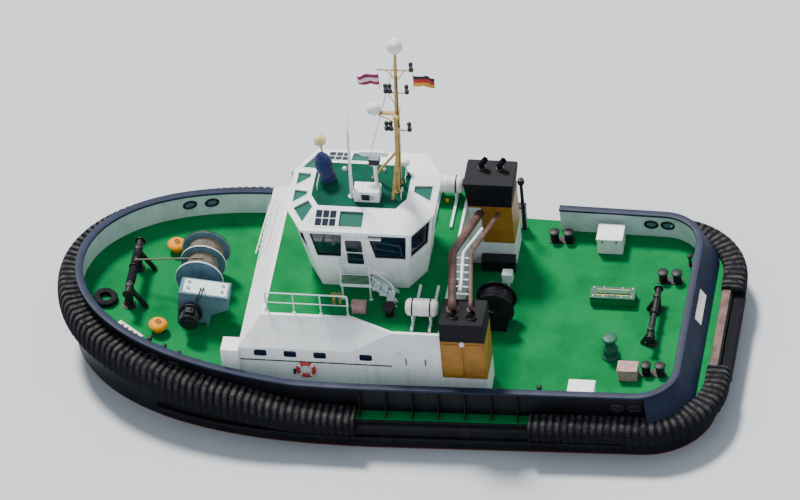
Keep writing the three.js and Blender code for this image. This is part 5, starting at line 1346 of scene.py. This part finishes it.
# %% The canvas hood
HOOD_LEAN, HOOD_FOOT = math.radians(11), [2.06, -0.21, ROOF]
a = circle(120)[:, None]
h = np.linspace(0.02, 1.28, 56)[None]
outline = np.array([[0.02, 0.27], [0.2, 0.285], [0.35, 0.24], [0.5, 0.29], [0.75, 0.32], [0.95, 0.285], [1.05, 0.25],
                    [1.16, 0.18], [1.24, 0.11], [1.27, 0.06], [1.28, 0.004]])
r = np.interp(h, outline[:, 0], outline[:, 1])
r = np.concatenate([r[:, :1], (r[:, :-2] + 2 * r[:, 1:-1] + r[:, 2:]) / 4, r[:, -1:]], axis=1)
gather = 0.012 + 0.02 * np.exp(-((h - 0.35) / 0.12) ** 2) + 0.018 * np.exp(-(h / 0.12) ** 2)
fold = np.sin(9 * a + 2.2 * np.sin(a * 2 + h * 1.5)) + 0.5 * np.sin(17 * a - 3 * h)
r = r - gather * (0.6 + 0.4 * fold) * np.minimum(1, r / 0.2)
hood = polar(r, a, h)
c, s = math.cos(HOOD_LEAN), math.sin(HOOD_LEAN)
hood = np.stack([hood[..., 0] * c + hood[..., 2] * s, hood[..., 1], hood[..., 2] * c - hood[..., 0] * s], -1)
hood[..., 2] = np.maximum(hood[..., 2], 0.004 + 0.012 * (1 + np.sin(5 * a)) * np.exp(-h / 0.1))
size = area_of(hood, closed=True)
canvas = build("canvas_hood", moved(cloth(hood, closed=True), HOOD_FOOT), CANVAS, replaces=["compass_cover"],
               angle=80)
ring = hood[:, np.argmin(np.abs(h[0] - 0.35))]
loop = np.concatenate([ring, ring[:1]])[::3]
build("hood_lashing", moved(tube(loop + (loop - ring.mean(0)) * 0.03, 0.009, 8), HOOD_FOOT), ROPE)
print("canvas:", round(size, 2), "square metres")

# %% Flags
CLOTHS = {colour: woven(colour + "_bunting", "flag_cloth", fresh, worn, 0.004, 0.0006) for colour, fresh, worn in (
    ("magenta", "#a51d58", "#7f1a48"), ("white", "#e6e2e2", "#cfc8cb"), ("black", "#17171b", "#2a2a30"),
    ("red", "#c2262b", "#9c1f25"), ("gold", "#e0a623", "#c18d22"))}
FLAGS = [
    # name, node, edge at the halyard, way along X, phase of the wave, sink of the free end, stripes from the top
    ("house_flag_cloth", "house_flag", -0.0793, 1, 0.6, 0.16, ("magenta", "white", "magenta")),
    ("ensign_cloth", "ensign", -1.3007, -1, 0, 0.05, ("black", "red", "gold")),
]
FLAG_TALL, FLAG_TOP = 0.5, 5.275
for name, node, edge, way, phase, sink, stripes in FLAGS:
    s = np.linspace(0, 0.745, 46)[:, None]
    t = np.linspace(0, 1, 19)[None]
    wave = 0.1 * s * np.sin(11 * s + 1.2 * t + phase) + 0.03 * s * np.sin(23 * s - 2 * t)
    z = FLAG_TOP - FLAG_TALL * t * (1 - 0.05 * s) - sink * s ** 1.6 * (1 - 0.35 * t)
    grid = np.stack([edge + way * s * (1 - 0.02 * t), wave + 0 * t, np.maximum(z, 4.79) + ROOF], -1)
    size = area_of(grid)
    obj = build(name, cloth(grid, 0.003), CLOTHS[stripes[0]], replaces=[node], angle=80)
    for extra in stripes[1:]:
        obj.data.materials.append(CLOTHS[extra])
    columns = 2 * t.shape[1]
    for face in obj.data.polygons:
        down = int(min(face.vertices) % columns)
        down = min(down, columns - 1 - down) / (t.shape[1] - 1)
        face.material_index = min(2, int(down * 3))
    print(name, "is", round(size, 3), "square metres")

# %% [markdown]
# ## Thrusters and propellers
#
# Below the stern hang two steerable thrusters, each a pod with a propeller inside a nozzle. The nozzle is a ring
# with the section of a wing. A blade is a skin over sections that twist and narrow towards the tip.

# %% Nozzles, pods and propellers
UNIT, SCREW_X, TIP = [-8.5, 2.3, -3.1], -0.76, 1.05


def lathe_x(profile, sides=64, closed=False):
    """A turned shape along X from [radius, x] pairs."""
    return outward(laid(revolve(profile, sides, closed), "X"))


pod = lathe_x(eased([[0.0, -0.52], [0.29, -0.52], [0.34, -0.15], [0.335, 0.2], [0.3, 0.45], [0.17, 0.66],
                     [0.0, 0.72]], 0.1, 6).tolist())
wing = eased_loop([[1.13, -1.19], [1.19, -1.15], [1.235, -0.42], [1.15, -0.27], [1.08, -0.3], [1.075, -0.76]],
                  0.05, 5)
nozzle = lathe_x(wing.tolist(), 96, closed=True)
leg = revolve([[0, 0], [0.33, 0], [0.4, 1.42], [0.54, 1.4295], [0.56, 1.445], [0.56, 1.53], [0.55, 1.5395],
               [0, 1.5395]], 56)
arms = slabs([[-0.65, 0.0, -0.09, 0.09, 1.11, 1.3], [-0.65, 0.06, -0.07, 0.07, -1.2, -1.1],
              [-0.12, 0.12, -0.07, 0.07, -1.2, 0.0]])
zincs = slabs([[-0.1, 0.14, y, y + 0.04, z, z + 0.09] for y in (0.315, -0.355) for z in (-0.02, 0.5)])

BLADE = np.array([
    # part of the tip's radius, chord, twist in degrees and thickness
    [0.17, 0.33, 62, 0.034], [0.45, 0.56, 38, 0.024], [0.75, 0.64, 25, 0.015], [0.93, 0.48, 20, 0.009],
    [1.0, 0.22, 18, 0.005]])
parts = np.linspace(0.17, 1.0, 18)
u = np.concatenate([np.linspace(-1, 1, 13), np.linspace(1, -1, 13)[1:-1]])
v = np.concatenate([np.ones(13), -np.ones(11)]) * np.sqrt(np.clip(1 - u ** 2, 0, 1)) * (1 + 0.25 * u) * 0.8
chord, twist, thick = (np.interp(parts, BLADE[:, 0], BLADE[:, k])[:, None] for k in (1, 2, 3))
round_tip = np.sqrt(np.clip(1 - ((parts - 0.17) / 0.86) ** 8, 0.03, 1))[:, None]
along, over, twist = u * chord * round_tip / 2, v * thick, np.radians(twist)
points, faces = outward(skin(np.stack([along * np.sin(twist) + over * np.cos(twist),
                                       along * np.cos(twist) - over * np.sin(twist),
                                       0 * along + TIP * parts[:, None]], -1)))
x, y, z = points.T
blades = [(np.stack([x, c * y - s * z, s * y + c * z], -1), faces) for c, s in ((1, 0), (0, 1), (-1, 0), (0, -1))]
boss = lathe_x(eased([[0.0, -0.28], [0.08, -0.27], [0.16, -0.22], [0.25, -0.06], [0.28, 0.2], [0.28, 0.2395],
                      [0.0, 0.2395]], 0.03, 4).tolist(), 48)
for side, sign in (("port", 1), ("starboard", -1)):
    unit = np.array(UNIT) * [1, sign, 1]
    build(side + "_thruster_casing", moved(together(pod, leg, arms), unit), THRUSTER, body=side + "_thruster",
          replaces=[side + "_thruster"], angle=40)
    build(side + "_nozzle_ring", moved(nozzle, unit), THRUSTER, body=side + "_thruster", angle=50)
    build(side + "_zinc_anodes", moved(zincs, unit), STEEL, body=side + "_thruster", bevel=0.008)
    build(side + "_propeller_blades", moved(together(boss, *blades), unit + [SCREW_X, 0, 0]), BRONZE,
          body=side + "_propeller", replaces=[side + "_propeller"], angle=50)
print("blades:", 2 * len(blades), "with", len(points), "points each")

# %% [markdown]
# ## Small fittings
#
# Fairleads are thick oval rings round a hole in the bulwark, and ropes run through them. Air pipes, a step board,
# a gangway ladder, lockers and valves are what a working deck is dotted with.

# %% Fairleads, air pipes and what lies about


def fairlead(x, high):
    """An oval ring on both faces of the bulwark and the dark plate of its hole."""
    wall, _ = even(curve, 0.02)
    k = int(np.argmin(np.abs(wall[:, 0] - x)))
    ahead = normed(wall[k + 3] - wall[k - 3])
    out = np.array([-ahead[1], ahead[0], 0]) * np.sign(-ahead[1] * wall[k][0] + ahead[0] * wall[k][1])
    a = circle(40)[:, None]
    oval = np.array([*wall[k], float(deck_top(x)) + high]) + 0.22 * np.cos(a) * [*ahead, 0]
    oval = oval + 0.15 * np.sin(a) * [0, 0, 1]
    rings = [tube(oval + out * d, 0.045, 12, loop=True) for d in (0.01, -0.09)]
    outer, inner = (outward(skin([oval + out * d for d in pair])) for pair in ((0.006, -0.03), (-0.05, -0.086)))
    return together(*rings, outer), inner


leads = [fairlead(x, 0.56) for x in (8.05, 7.3, -8.36, -8.96)]
build("bulwark_fairleads", both(together(*[ring for ring, _ in leads])), CASTING, angle=50)
build("fairlead_holes", both(together(*[hole for _, hole in leads])), WINCH)

pipe = together(revolve([[0, 0], [0.055, 0], [0.055, 0.36], [0.09, 0.37], [0.1, 0.46], [0.05, 0.5], [0, 0.5]], 24),
                puck(0.1, 0, 0.015, 24))
pipes = [on_foredeck(pipe, x, y) for x, y in ((7.3, 3.45), (7.85, 3.2), (8.4, 2.9))]
pipes += [moved(pipe, [x, y, DECK_TOP]) for x, y in ((-5.5, 3.75), (-2.6, -4.4), (-9.9, -3.2))]
build("tank_air_pipes", together(*pipes), CASTING, angle=40)

ahead, side, middle = np.array([0.82, -0.57, 0.09]), np.array([0.57, 0.82, 0.0]), np.array([9.15, 2.62, 2.42])


def on_board(a, half_a, half_b, depth):
    """A plate in the plane of the step board: its corners are middle + (a +- half a) ahead +- half b side."""
    corners = ((-half_a, -half_b), (half_a, -half_b), (half_a, half_b), (-half_a, half_b))
    return sheet_between([middle + ahead * (a + da) + side * b for da, b in corners], -depth, depth)


build("step_board", on_board(0, 0.55, 0.17, 0.02), RAFT_WHITE, bevel=0.008)
slots = [on_board(a, 0.05, 0.1, 0.024) for a in (-0.33, -0.11, 0.11, 0.33)]
build("step_board_slots", together(*slots), BROWN)
legs = [tube([middle + ahead * a - [0, 0, drop] for drop in (0.01, 0.42)], 0.02, 10) for a in (-0.45, 0.45)]
build("step_board_legs", together(*legs), PALE)

runs = [np.array([[5.0, -0.35, 3.62], [4.86, -2.75, 3.76]]) + [dx, 0, dz] for dx, dz in ((0.0, 0.0), (-0.3, 0.3))]
rungs = [tube([run[0] * (1 - t) + run[1] * t for run in runs], 0.016, 8) for t in np.linspace(0.05, 0.95, 9)]
build("gangway_ladder", together(*[tube(run, 0.024, 12) for run in runs], *rungs), AERIAL)

control = [[-3.86, -3.5, -1.62, -1.28, 1.86, 2.24], [-3.72, -3.64, -1.49, -1.41, DECK_TOP, 1.86]]
build("reel_control_box", slabs(control), PALE, bevel=0.012)
locker = [[0.55, 1.02, 2.7, 3.02, 4.17, 4.52], [0.52, 1.05, 2.68, 3.04, 4.52, 4.545]]
build("boat_deck_locker", slabs(locker), PINK, bevel=0.01)
BOAT_DECK = 4.166
blower = revolve([[0, 0], [0.16, 0], [0.16, 0.3], [0.24, 0.34], [0.24, 0.42], [0.1, 0.5], [0, 0.5]], 32)
spots = [[x, y, BOAT_DECK] for x, y in ((-0.3, 2.98), (2.0, -2.9), (-0.9, -2.2))]
build("boat_deck_blowers", copies(blower, spots), CASTING, angle=40)
spokes = slabs([[-0.1, 0.1, -0.01, 0.01, 0.42, 0.435], [-0.01, 0.01, -0.1, 0.1, 0.42, 0.435],
                [-0.01, 0.01, -0.01, 0.01, 0.4, 0.44]])
valve = together(puck(0.05, 0, 0.4, 20), moved(hoop(0.09, 0.11, 0, 0.02, 24), [0, 0, 0.42]), spokes)
build("fire_valves", copies(valve, [[x, 2.56, BOAT_DECK] for x in (1.72, 1.5)]), YELLOW, angle=40)

slope = np.array([[0.16, -1.3], [0.36, -1.3], [0.36, 0.2], [0.16, 0.2]])
pad = np.stack([RAIL[2] - slope[:, 0], slope[:, 1], DECK_TOP + 0.94 - slope[:, 0] * 0.88 / 0.56], -1)
build("stern_skirt_pad", outward(sheet_between(pad, -0.02, 0.02)), RAFT_WHITE, bevel=0.006)
print("fittings:", len(pipes), "air pipes, 8 fairleads")

# %% Trunks, a black box that is partly painted shadow, conduit and post beside the casings
trunks = [[-2.66, -2.21, 2.765, 2.8, 1.5, 4.0], [-2.6, -2.28, 2.745, 2.765, 1.6, 3.9]]
build("casing_trunks", both(slabs(trunks)), WHITE, bevel=0.008)
# A black box with a lid at the starboard casing's foot. It also stands for the shadow that the casing casts on the
# deck beside it, so it is partly painted shadow.
dark_box_and_lid = [[-3.78, -2.6, -2.76, -2.38, DECK_TOP, 1.82], [-3.8, -2.58, -2.77, -2.36, 1.82, 1.86]]
build("casing_foot_box_and_painted_shadow", slabs(dark_box_and_lid), CASTING, bevel=0.012)
conduit = eased([[-2.95, -1.3, 4.42], [-2.62, 0.75, 5.16], [-2.76, 2.1, 5.16], [-2.78, 2.62, 5.12]], 0.2, 6)
build("guard_conduit", tube(conduit, 0.055, 14), AERIAL)
lamp = revolve([[0, 0], [0.11, 0.02], [0.14, 0.12], [0.1, 0.24], [0, 0.27]], 24)
post = tube([[-3.8, -4.66, DECK_TOP], [-3.8, -4.66, 3.5]], [0.075, 0.06], 16)
build("gate_lamp_post", together(post, moved(lamp, [-3.8, -4.66, 3.48])), CASTING, angle=50)
print("casings dressed")

# %% [markdown]
# ## Floor and light
#
# The floor is pale and plain and lies at the waterline, so that the boat stands in it as it floats. Light comes
# from a wide sun behind the starboard bow and from a bright, faintly blue surround: tops are bright, and walls
# that face the camera stay in soft shade.

# %% Floor, sky and sun
FLOOR_RADIUS = 320.0
edge_ring = polar(FLOOR_RADIUS, circle(96), -0.002)
floor_mesh = bpy.data.meshes.new("floor")
floor_mesh.from_pydata(edge_ring.tolist(), [], [list(range(len(edge_ring)))])
floor = bpy.data.objects.new("floor", floor_mesh)
bpy.context.scene.collection.objects.link(floor)
made, tree, shader, where = new_material("pale_studio_floor", "rail_pale", "#c3c8cc", 0.55)
speckle = add(tree, "TexNoise", inputs={"Vector": where, "Scale": 0.6, "Detail": 6.0})
tone = add(tree, "Mix", {"data_type": "RGBA"}, {0: speckle.outputs["Fac"], 6: linear("#bfc4c9"),
                                                7: linear("#c9cdd0")})
tree.links.new(tone.outputs[2], shader.inputs["Base Color"])
floor_mesh.materials.append(made)

world = bpy.data.worlds.new("studio")
bpy.context.scene.world = world
world.use_nodes = True
sky = world.node_tree.nodes["Background"]
sky.inputs["Color"].default_value = linear("#dfe8f5")
sky.inputs["Strength"].default_value = 0.8
lamp = bpy.data.lights.new("wide_sun", "SUN")
lamp.energy, lamp.angle, lamp.color = 5.6, 0.2, (1.0, 0.97, 0.93)
sun = bpy.data.objects.new("wide_sun", lamp)
sun.rotation_euler = Vector((0.3, -0.45, 0.85)).to_track_quat("Z", "Y").to_euler()
bpy.context.scene.collection.objects.link(sun)
print("floor of", FLOOR_RADIUS, "m at the waterline")
